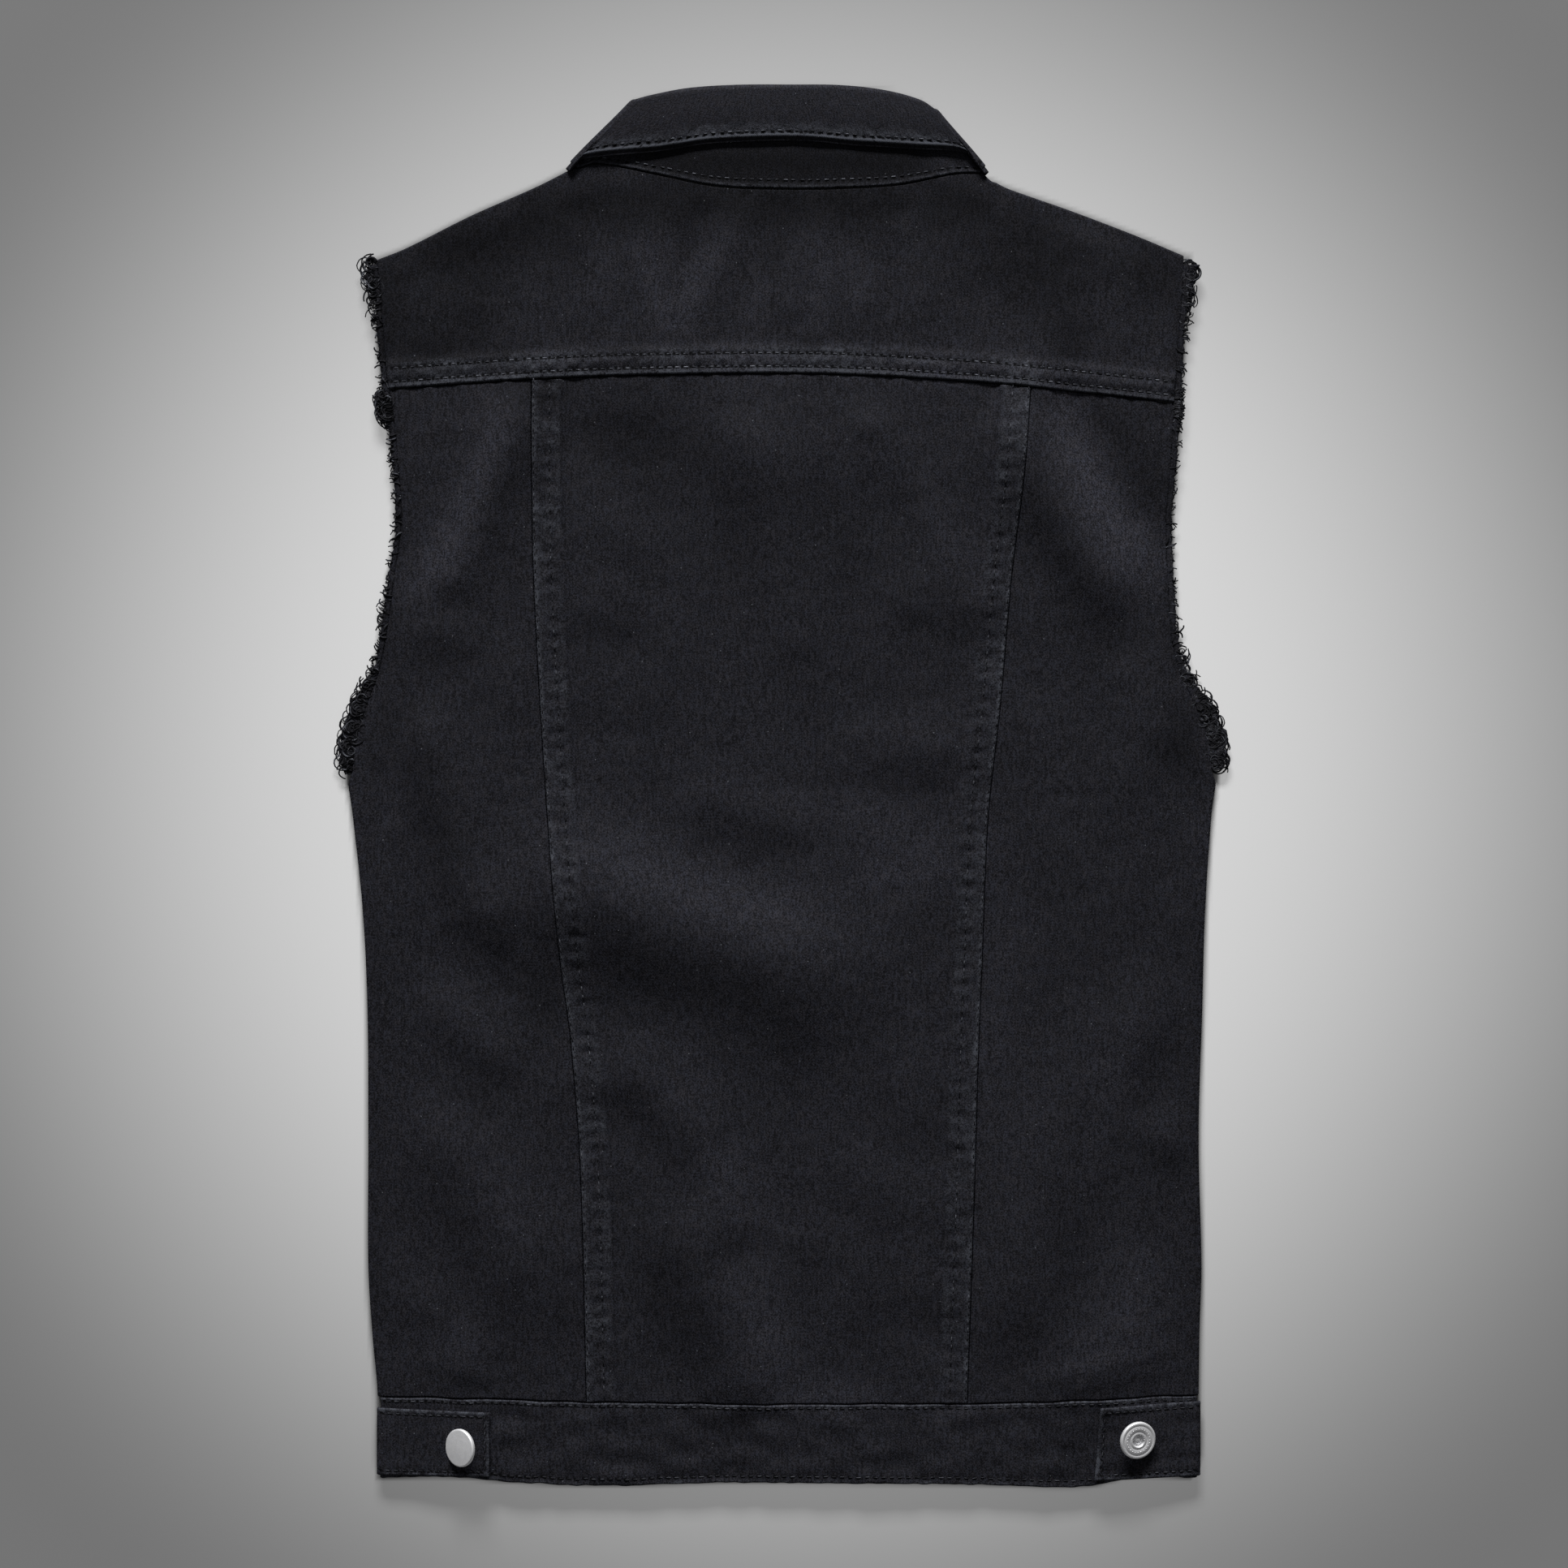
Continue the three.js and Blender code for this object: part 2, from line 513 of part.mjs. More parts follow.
// Waist tabs: two plies laid on the band, from over its side fold towards the centre back.
const TAB_LIFT = (BAND + TAB) / 2 + LAID_GAP;
function waistTab(side) {
  const name = side < 0 ? "left" : "right";
  const tab = TABS[name];
  const start = bandStart(side);
  const inner = Math.abs(tab.end) / start;
  const between = BAND_STATIONS.filter((s) => s > inner + 0.01);
  const line = (share) =>
    steps(3).map((v) => {
      const out = (share - inner) / (1 - inner);
      const y = lerp(lerp(tab.foot, tab.outerFoot, out), lerp(tab.top, tab.outerTop, out), v);
      const slant = share === inner ? (1 - v) * (tab.endFoot - tab.end) : 0;
      const x = side * share * start + slant;
      return point(x, y, bandTop(x, y) - BAND / 2 + TAB_LIFT);
    });
  const turned = TURN.slice(0, 2).reverse().map((share) => {
    const { over, down } = quarter(bandRadius + TAB_LIFT, 1, share);
    return line(1).map((p) => point(p.x + side * over, p.y, p.z - down));
  });
  const grid = [...turned, ...between.map(line), line(inner)];
  if (side > 0) grid.reverse();
  return wall(grid, TAB / 2);
}

// Tack button: a round cap on a short shank, +Z up from the cloth. A hollow cap has a round well
// with a low boss in it. face is where the cap's underside lies.
const CAP = { face: 3.4, thick: 2.2, edge: 0.9, rim: 1.2, shank: 2.6, dome: 0.4 };
const WELL = { radius: 3.4, slope: 0.4, floor: 1.1, boss: 0.6 };
function lathe(points, segments) {
  const geometry = new THREE.LatheGeometry(points.map(([r, z]) => new THREE.Vector2(r, z)), segments);
  geometry.rotateX(Math.PI / 2);
  return geometry;
}
function tackButton(hollow) {
  const r = BUTTON / 2;
  const top = CAP.face + CAP.thick;
  const shank = [
    [0, 0],
    [CAP.shank, 0],
    [CAP.shank, CAP.face],
  ];
  const rim = [
    [r - CAP.edge, CAP.face],
    [r, CAP.face + CAP.edge / 2],
    [r, CAP.face + CAP.rim],
    [r - CAP.edge, top],
  ];
  const well = [
    [WELL.radius, top],
    [WELL.radius - WELL.slope, CAP.face + WELL.floor],
    [WELL.radius / 2, CAP.face + WELL.floor],
    [0, CAP.face + WELL.floor + WELL.boss],
  ];
  const dome = [
    [r / 2, top + CAP.dome * 0.75],
    [0, top + CAP.dome],
  ];
  return lathe([...shank, ...rim, ...(hollow ? well : dome)], 20);
}
function tabButton(side) {
  const name = side < 0 ? "left" : "right";
  const spec = TAB_BUTTONS[name];
  const lean = THREE.MathUtils.degToRad(spec.lean);
  const about = THREE.MathUtils.degToRad(spec.about);
  const mesh = add(`button_tab_${name}`, tackButton(side > 0), SILVER_METAL);
  mesh.quaternion.setFromAxisAngle(point(-Math.sin(about), Math.cos(about), 0), side * lean);
  const seat = bandTop(spec.x, spec.y) - BAND / 2 + TAB_LIFT + TAB / 2;
  mesh.position.set(spec.x, spec.y, seat + SEAM_GAP + CAP.shank * Math.sin(lean));
}
// The front buttons lie under the closed fronts, cap down on the surface.
const LAID_CAP = { thick: 1.4, edge: 0.8 };
function frontButton(index, y) {
  const r = BUTTON / 2;
  const { thick, edge } = LAID_CAP;
  const points = [
    [0, 0],
    [r - edge, 0],
    [r, edge / 2],
    [r, thick - edge / 2],
    [r - edge, thick],
    [0, thick],
  ];
  add(`button_front_${index}`, lathe(points, 14), SILVER_METAL).position.set(0, y, 0);
}

// Fronts, under the back: plain panels, a button band on each, closed left over right.
const NECK_FOOT = COLLAR_FRONT[COLLAR_FRONT.length - 1].neckY - 1;
const NECK_SLACK = 0.9; // how far the fronts stay from the neck seam
const frontNeck = (y) => curveAt([...COLLAR_FRONT].reverse(), "neckY", "neckX", y + NECK_SLACK);
const NECK_ROWS = [0, 0.03, 0.08, 0.15, 0.25, 0.4, 0.6, 0.8, 1];
function frontPanel(side) {
  const name = side < 0 ? "left" : "right";
  const radius = turnRadius(EDGE_TOP, CLOTH);
  const tip = Math.abs(FRONT_EDGE[FRONT_EDGE.length - 1][name]) - rawInset;
  const neck = Math.abs(NECK_POINT[name]) + NECK_SLACK;
  const outerAt = (y) => {
    const seam = Math.abs(edgeAt(y, side));
    const raw = Math.abs(curveAt(FRONT_EDGE, "y", name, y)) - rawInset;
    return lerp(raw, seam, sideTurn(y));
  };
  const place = (column, y) => {
    const neckline = y > NECK_FOOT - NECK_SLACK ? frontNeck(y) + NECK_SLACK : 0;
    const inner = Math.max(PLACKET_HALF + SEAM_GAP, neckline);
    return lerp(inner, outerAt(y) - turnStart(radius, CLOTH, sideTurn(y)), Math.min(1, column));
  };
  const below = [...PANEL_ROWS.slice(1, -1), ...YOKE_BED.filter((y) => y < NECK_FOOT - 10)];
  const grid = [...steps(5), ...TURN.map((t) => 1 + t)].map((column) => {
    const foot = bandTopEdge(side * place(column, -325)) + CURVED_GAP;
    const head = shoulderAt(side * lerp(neck, tip, Math.min(1, column))) - turnStart(radius, CLOTH, 1);
    const above = NECK_ROWS.map((share) => lerp(NECK_FOOT - NECK_SLACK, head, share));
    const rows = [foot, ...below, ...above];
    const line = rows.map((y) => {
      const x = place(column, y);
      const z = frontLift(side * x, y, side) + CLOTH / 2;
      const { over, down } = quarter(radius, sideTurn(y), Math.max(0, column - 1));
      return point(side * (x + over), y, z + down);
    });
    const last = line[line.length - 1];
    TURN.forEach((share) => {
      const { over, down } = quarter(radius, 1, share);
      line.push(point(last.x, last.y + over, last.z + down));
    });
    return line;
  });
  if (side > 0) return wall(grid, CLOTH / 2);
  return wall(grid.reverse(), CLOTH / 2);
}
function placket(side) {
  const grid = steps(4).map((across) => {
    const x = side * lerp(PLACKET_HALF, 1 - PLACKET_HALF, across);
    const foot = bandTopEdge(x) + SEAM_GAP;
    return steps(12).map((share) => {
      const y = lerp(foot, NECK_FOOT - NECK_SLACK, share);
      const lift = frontFoot(x, y) + (side < 0 ? 0 : OVERLAP_LIFT);
      return point(x, y, lift + CLOTH / 2);
    });
  });
  if (side > 0) grid.reverse();
  return wall(grid, CLOTH / 2);
}

// Collar. Its stations run from the centre front under the left side, round the left side line,
// across the back and under the right side again. Each has the height of its turn.
const COLLAR_STATIONS = [
  ...[1, 0.85, 0.68, 0.5, 0.32, 0.15].map((u) => ({ side: -1, front: u })),
  ...[-90, -45, 0, 45, 90].map((angle) => ({ side: -1, angle })),
  ...[-0.9, -0.78, -0.62, -0.46, -0.3, -0.15, 0, 0.15, 0.3, 0.46, 0.62, 0.78, 0.9].map((u) => ({ back: u })),
  ...[90, 45, 0, -45, -90].map((angle) => ({ side: 1, angle })),
  ...[0.15, 0.32, 0.5, 0.68, 0.85, 1].map((u) => ({ side: 1, front: u })),
];
const along = (rows, line, u) => [
  curveAt(rows, "u", `${line}X`, u),
  curveAt(rows, "u", `${line}Y`, u),
];
// Where one of the collar's lines passes a station, on the surface's plan.
function collarPlan(station, line) {
  if (station.back !== undefined) return along(COLLAR_BACK, line, station.back);
  const edge = along(COLLAR_BACK, line, station.side);
  if (station.angle !== undefined) return edge;
  const [x, y] = along(COLLAR_FRONT, line, station.front);
  const [x0, y0] = along(COLLAR_FRONT, line, 0);
  const fade = 1 - smooth(station.front / 0.6);
  return [station.side * x + (edge[0] - station.side * x0) * fade, y + (edge[1] - y0) * fade];
}
// A point of the collar at a share of the way from one line to another, at its height. under and
// over are the heights of the layer below and above the garment's middle.
function collarPoint(station, from, to, share, under, over) {
  const a = collarPlan(station, from);
  const b = collarPlan(station, to);
  const x = lerp(a[0], b[0], share);
  const y = lerp(a[1], b[1], share);
  if (station.back !== undefined) return point(x, y, over);
  if (station.front !== undefined) return point(x, y, under);
  const angle = THREE.MathUtils.degToRad(station.angle);
  const fold = collarPlan(station, "fold");
  const leaf = collarPlan(station, "leaf");
  const long = Math.hypot(fold[0] - leaf[0], fold[1] - leaf[1]);
  const radius = (over - under) / 2;
  const out = [
    (station.side * (fold[1] - leaf[1])) / long,
    (-station.side * (fold[0] - leaf[0])) / long,
  ];
  const reach = radius * Math.cos(angle);
  return point(x + out[0] * reach, y + out[1] * reach, (over + under) / 2 + radius * Math.sin(angle));
}
const neckHeight = (station) => {
  const [x, y] = collarPlan(station, "neck");
  return backTop(x, y - 2) - STAND_DROP;
};
const standPoint = (station, share) =>
  collarPoint(station, "neck", "fold", share, STAND_FRONT, lerp(neckHeight(station), STAND_FOLD, share));
const leafPoint = (station, share) =>
  collarPoint(station, "leaf", "fold", share, LEAF_FRONT, lerp(LEAF_EDGE, LEAF_FOLD, share));
function collarStand() {
  const grid = COLLAR_STATIONS.map((station) =>
    steps(3).map((share) => standPoint(station, share * (STAND_SHARE - 0.01))),
  );
  return wall(grid, COLLAR / 2);
}
function collarLeaf() {
  const grid = COLLAR_STATIONS.map((station) => {
    const outer = [0, 0.3, 0.6, 1].map((share) => leafPoint(station, share));
    const inner = [1, STAND_SHARE + 0.01].map((share) => standPoint(station, share));
    const a = outer[outer.length - 1];
    const b = inner[0];
    const centre = a.clone().add(b).multiplyScalar(0.5);
    const half = a.clone().sub(b).multiplyScalar(0.5);
    const up = collarPlan(station, "fold");
    const from = collarPlan(station, "leaf");
    const rise = point(up[0] - from[0], up[1] - from[1], 0).normalize().multiplyScalar(half.length());
    const roll = [45, 90, 135].map((degrees) => {
      const angle = THREE.MathUtils.degToRad(degrees);
      return centre.clone().addScaledVector(half, Math.cos(angle)).addScaledVector(rise, Math.sin(angle));
    });
    return [...outer, ...roll, ...inner];
  });
  return wall(grid, COLLAR / 2);
}

// Frayed edges. random repeats the same series each run.
let seed = 7;
const random = () => {
  seed = (seed * 16807) % 2147483647;
  return seed / 2147483647;
};
const wasm = await Module();
wasm.setup();
function solidOf(geometry) {
  const bare = geometry.index ? geometry.toNonIndexed() : geometry.clone();
  ["normal", "uv"].forEach((name) => bare.deleteAttribute(name));
  const merged = mergeVertices(bare, 1e-4);
  return new wasm.Manifold(
    new wasm.Mesh({
      numProp: 3,
      vertProperties: merged.attributes.position.array,
      triVerts: new Uint32Array(merged.index.array),
    }),
  );
}
function geometryOf(solid) {
  const mesh = solid.getMesh();
  const geometry = new THREE.BufferGeometry();
  geometry.setAttribute("position", new THREE.BufferAttribute(mesh.vertProperties, 3));
  geometry.setIndex(new THREE.BufferAttribute(mesh.triVerts, 1));
  return geometry;
}
// A three-sided tapered lock of threads along a bent line of points.
function lock(points) {
  const tip = points.length - 1;
  const positions = [];
  points.forEach((p, k) => {
    const next = points[Math.min(tip, k + 1)];
    const before = points[Math.max(0, k - 1)];
    const ahead = next.clone().sub(before).normalize();
    const flat = point(-ahead.y, ahead.x, 0).normalize();
    const high = ahead.clone().cross(flat);
    const thick = (THREAD / 2) * (1 - (0.55 * k) / tip);
    [90, 210, 330].forEach((degrees) => {
      const angle = THREE.MathUtils.degToRad(degrees);
      const side = flat.clone().multiplyScalar(thick * Math.cos(angle));
      const q = p.clone().add(side).addScaledVector(high, thick * Math.sin(angle));
      positions.push(q.x, q.y, q.z);
    });
  });
  const faces = [0, 2, 1, 3 * tip, 3 * tip + 1, 3 * tip + 2];
  for (let k = 0; k < tip; k += 1)
    for (let c = 0; c < 3; c += 1) {
      const a = 3 * k + c;
      const b = 3 * k + ((c + 1) % 3);
      faces.push(a, b, b + 3, a, b + 3, a + 3);
    }
  const geometry = new THREE.BufferGeometry();
  geometry.setAttribute("position", new THREE.Float32BufferAttribute(positions, 3));
  geometry.setIndex(faces);
  return geometry;
}
function frayedEdge(side, edgeRows, lengths, heightAt, count, lowest) {
  const name = side < 0 ? "left" : "right";
  const from = UNDERARM + 5;
  const to = edgeRows[edgeRows.length - 1].y - 3;
  const place = (y) => curveAt(edgeRows, "y", name, y);
  const middle = (y) => {
    const x = place(y) - side * (STRIP / 2 + SEAM_GAP);
    return point(x, y, heightAt(x - side * (STRIP / 2 + SEAM_GAP), y));
  };
  const outward = (y) => {
    const slope = (place(y + 1) - place(y - 1)) / 2;
    return point(side, -side * slope, 0).normalize();
  };
  const bed = [from, ...PANEL_ROWS.filter((y) => y > from + 3 && y < 200), ...YOKE_BED, to];
  const grid = [-0.5, 0.5].map((share) =>
    bed.map((y) => middle(y).addScaledVector(outward(y), share * STRIP)),
  );
  const rootAt = (y) => {
    const k = bed.findIndex((at, i) => i < bed.length - 1 && bed[i + 1] >= y);
    return middle(bed[k]).lerp(middle(bed[k + 1]), (y - bed[k]) / (bed[k + 1] - bed[k]));
  };
  if (side < 0) grid.reverse();
  let solid = solidOf(wall(grid, STRIP_THICK / 2));
  for (let k = 0; k < count; k += 1) {
    const y = lerp(from + 0.8, to - 0.8, (k + 0.5 + 0.5 * (random() - 0.5)) / count);
    const length = lineAt(lengths, "y", name, y) * (0.55 + 0.6 * random());
    const root = rootAt(y);
    const turn = (random() - 0.5) * 1.1;
    const heading = outward(y).applyAxisAngle(point(0, 0, 1), turn);
    const bent = outward(y).applyAxisAngle(point(0, 0, 1), turn + (random() - 0.5) * 1.6);
    const knee = root.clone().addScaledVector(heading, STRIP / 2 + length * 0.5);
    const end = knee.clone().addScaledVector(bent, length * 0.5);
    const fall = Math.min(root.z - lowest, length * 0.25);
    knee.z -= fall * 0.35 * random();
    end.z = Math.max(lowest, root.z - fall * random());
    solid = solid.add(solidOf(lock(length > LONG_LOCK ? [root, knee, end] : [root, end])));
  }
  return geometryOf(solid);
}

add("back_yoke", backYoke(), BLACK_DENIM);
add("back_centre", centrePanel(), BLACK_DENIM);
add("waistband_back", backBand(), BLACK_DENIM);
add("collar_stand", collarStand(), BLACK_DENIM);
add("collar_leaf", collarLeaf(), BLACK_DENIM);
[-1, 1].forEach((side) => {
  const name = side < 0 ? "left" : "right";
  add(`back_side_${name}`, sidePanel(side), BLACK_DENIM);
  add(`front_${name}`, frontPanel(side), BLACK_DENIM);
  add(`placket_${name}`, placket(side), BLACK_DENIM);
  add(`waistband_front_${name}`, frontBand(side), BLACK_DENIM);
  add(`waist_tab_${name}`, waistTab(side), BLACK_DENIM);
  tabButton(side);
  const backHeight = (x, y) => backTop(x, y) - CLOTH / 2;
  const frontHeight = (x, y) => frontFoot(x, y) + CLOTH / 2;
  add(`fray_back_${name}`, frayedEdge(side, BACK_EDGE, FRAY_BACK, backHeight, 62, 1.6), FRAYED_THREAD);
  add(`fray_front_${name}`, frayedEdge(side, FRONT_EDGE, FRAY_FRONT, frontHeight, 20, 0.45), FRAYED_THREAD);
});
[...FRONT_BUTTONS_AT, BAND_BUTTON_AT].forEach((y, k) => frontButton(k + 1, y));

export default vest;
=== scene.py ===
# A sleeveless black denim vest with raw armholes, laid face down so that its back shows.
# Lengths are millimetres until a mesh is made. +X runs to the right across the back, +Y from the
# hem to the collar, and +Z up from the surface that the vest lies on.
import math

import bpy
import numpy as np
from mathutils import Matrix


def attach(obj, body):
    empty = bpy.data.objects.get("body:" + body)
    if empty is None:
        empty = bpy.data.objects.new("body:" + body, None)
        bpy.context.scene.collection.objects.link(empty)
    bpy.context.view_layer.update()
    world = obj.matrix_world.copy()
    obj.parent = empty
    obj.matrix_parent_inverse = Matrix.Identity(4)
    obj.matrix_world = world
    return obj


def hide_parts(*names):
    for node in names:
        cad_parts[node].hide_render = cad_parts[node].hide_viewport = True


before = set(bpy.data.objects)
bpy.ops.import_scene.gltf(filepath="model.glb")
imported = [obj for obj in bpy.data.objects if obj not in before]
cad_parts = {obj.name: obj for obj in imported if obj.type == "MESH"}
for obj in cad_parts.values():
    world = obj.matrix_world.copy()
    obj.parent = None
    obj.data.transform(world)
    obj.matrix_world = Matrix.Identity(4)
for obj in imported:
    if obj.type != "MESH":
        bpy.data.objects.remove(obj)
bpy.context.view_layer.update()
scene = bpy.context.scene
MM = 0.001

# Camera
# It looks straight down on the middle of the vest, with the collar up. PIXEL is the size of one
# pixel of the photograph at the height of the cloth.
PHOTO_PIXELS = 1932
PIXEL = 0.43
VIEW_CENTRE = (-0.2, 0.6)
CLOTH_HEIGHT = 6
LENS = 85
SENSOR = 36
camera_data = bpy.data.cameras.new("camera")
camera_data.lens = LENS
camera_data.sensor_width = SENSOR
camera = bpy.data.objects.new("camera", camera_data)
camera_height = PHOTO_PIXELS * PIXEL * LENS / SENSOR + CLOTH_HEIGHT
camera.location = (VIEW_CENTRE[0] * MM, VIEW_CENTRE[1] * MM, camera_height * MM)
scene.collection.objects.link(camera)
scene.camera = camera
scene.view_settings.view_transform = "Standard"

# Centre back
# One panel of black twill denim from the yoke to the waistband. Its long edges are turned under
# and felled over the side backs, so a doubled, puckered band runs down each of them.
CLOTH = 1.2  # one ply of heavy denim with its seam play
CURVED_GAP = 0.45  # between pieces whose edges follow one curve
RIB_RISE = 0.7  # how far the doubled cloth stands up
RIB_WIDE = 15
STEP_DOWN = 2  # width over which the doubled cloth drops to the single ply
EDGE_TOP = 3.55  # top of the back layer where it turns down at the sides and shoulders
BACK_TOP = 6.3  # top of the back layer away from its edges
EDGE_SOFT = 45  # how far in from an edge the back reaches its full height
CREASE_SOFT = 15  # the same for the small creases, which run nearly to the edge
BUTTON_LIFT = 1.75  # how far the front buttons hold the front edges off the surface
COLLAR_LIFT = 2.2  # how far the collar leaves hold the fronts off the surface
LIFT_FROM = 125  # height up the front at which the collar starts to lift it
LIFT_LONG = 50
OVERLAP_LIFT = 1.5  # step of the upper front edge over the lower one
PLACKET_HALF = 17
LEAST_PLAY = 0.35  # air between the back and the fronts where they lie closest
FADE_GAIN = 0.9  # stops of brightness for an amount of 1
PANEL_FOOT, PANEL_HEAD = -326, 215  # heights near the panel's two ends
CENTRE_LONG = 545
RIB_ROWS = (1.2, 9.6)  # the two rows of stitches, in from the felled edge
PUCKER = 8.8  # length of cloth between two puckers
DENT = 0.8  # depth of a pucker
GROOVE = 0.22  # how deep a row of stitches pulls the cloth in
TROUGH = 0.6  # how far the cloth sinks beside the doubled band
FAR = 99.0  # a distance from stitches that no stitch hole reaches


def table(columns, *rows):
    """A table with named columns."""
    return {name: np.array(values, float) for name, values in zip(columns.split(), zip(*rows))}


BACK_EDGE = table(
    "y left right",
    (-367, -215, 215), (-358, -216, 220), (-324, -216, 220), (-289, -219, 220.5),
    (-255, -221, 221.5), (-186, -221, 220), (-117, -221.5, 222), (-66, -224, 223.5),
    (-14, -229.5, 227), (6, -232, 229.5), (28, -229, 227), (46, -223, 219), (60, -218, 212.5),
    (80, -214, 208), (106, -210.5, 206.5), (140, -206, 205.5), (175, -208, 208),
    (203, -211, 209.5), (216, -213.5, 210.5), (240, -215.5, 212), (262, -217, 214),
    (279, -219, 214.5),
)
SHOULDER_LEFT = table("x y", (-219, 277.5), (-201, 284.5), (-166, 302), (-132, 317), (-116, 325))
SHOULDER_RIGHT = table(
    "x y", (109, 320.5), (118, 316.5), (152, 304.5), (186, 291.5), (214.5, 279.5)
)
NECK_POINT = (-113, 106)
YOKE_SEAM = table(
    "x y", (-216, 209.5), (-160, 213.5), (-90, 217), (16, 218), (98, 214), (160, 208), (210, 202.5)
)
PANEL_SEAM = table(
    "y left right",
    (-328, -105, 97), (-208, -108, 101), (-139, -113, 103), (-91, -119, 105), (-18, -125.5, 108),
    (42, -129.5, 114.5), (110, -133, 120.5), (160, -134, 126.5), (216, -134, 131),
)
BAND_TOP = table(
    "x y",
    (-216, -324.5), (-158, -325.5), (-97, -327.5), (92, -328), (160, -326.2), (192, -324.7),
    (220, -324.2),
)
# Largest folds, where the solids have them, then the smaller creases. Each is a soft ridge, or a
# trough where high is negative, from (x1, y1) to (x2, y2), bowed sideways at its middle.
FOLDS = table(
    "x1 y1 x2 y2 bow wide high",
    (-138, -50, 30, -110, 2, 31, 8), (34, 23, 100, 19, 0, 15, 2.4), (-50, -7, 16, -23, 0, 14, 2.2),
    (30, -26, 96, -46, 3, 16, 1.2), (-192, 34, -154, -80, -6, 17, 4.2),
    (-187, -178, -128, -272, 3, 25, 5.2), (-98, -146, -46, -186, 5, 20, 3),
    (-54, -180, -36, -244, 3, 21, 3.2), (-64, -230, -14, -324, 3, 21, 5.8),
    (190, -112, 120, -292, -9, 23, 4.4), (224, -276, 150, -318, -4, 25, 4),
    (116, 196, 182, 94, -5, 18, 6), (-141, 204, -184, 98, 3, 15, 4.6), (-46, 180, 50, 174, 0, 26, 3.6),
    (56, 99, 110, 94, 0, 14, 2), (-212, 86, -164, 78, 0, 13, 2.6),
)
CREASES = table(
    "x1 y1 x2 y2 bow wide high",
    (42, 198, 84, 106, 7, 12, 2.5), (-22, 192, 4, 66, 5, 13, 1.7), (-112, 182, -60, 176, 0, 14, -2.2),
    (-104, 142, -62, 120, 2, 14, 1.2), (-116, 78, -76, 74, 0, 12, -1.2),
    (148, 206, 192, 136, 2, 10, -2.2), (-158, -100, -126, -118, 3, 13, -0.8),
    (-187, -112, -148, -150, 0, 14, 2.6), (188, -184, 226, -192, 0, 13, 2.2),
    (180, 64, 192, 2, 3, 11, 1.6), (196, 20, 224, -22, 0, 11, -2.0), (136, 40, 150, -50, 2, 14, 1.0),
    (-88, -170, -62, -200, 0, 12, -1.2), (-36, -250, -4, -246, 0, 10, -1.2),
    (30, -200, 86, -226, -3, 16, 1.5), (44, -284, 92, -294, 0, 14, -1.4), (8, -236, 52, -268, 3, 14, 1.2),
    (-196, -268, -166, -312, 3, 13, 1.6), (-112, 30, -60, 26, 0, 12, -1),
    (-196, -306, -150, -316, 1, 5, 0.5), (136, -316, 206, -300, 1, 5, 0.6),
    (150, -320, 214, -308, 1, 4, 0.5), (-224, 6, 224, -8, 0, 1.5, -0.12),
    (-108, 296, -100, 250, 0, 9, 0.7), (-70, 302, -58, 246, 0, 8, 1.0), (-20, 306, -44, 246, -3, 10, 1.2),
    (22, 302, 2, 246, -2, 9, 1.1), (52, 300, 40, 248, 0, 9, 0.9), (-44, 306, -54, 272, 0, 8, -0.9),
    (2, 304, -12, 266, 0, 8, -0.9), (82, 300, 74, 250, 0, 9, 0.7), (128, 300, 118, 232, 3, 14, -1.2),
    (150, 296, 196, 262, 0, 14, 1.2), (-196, 270, -136, 282, 0, 14, -1.2),
)
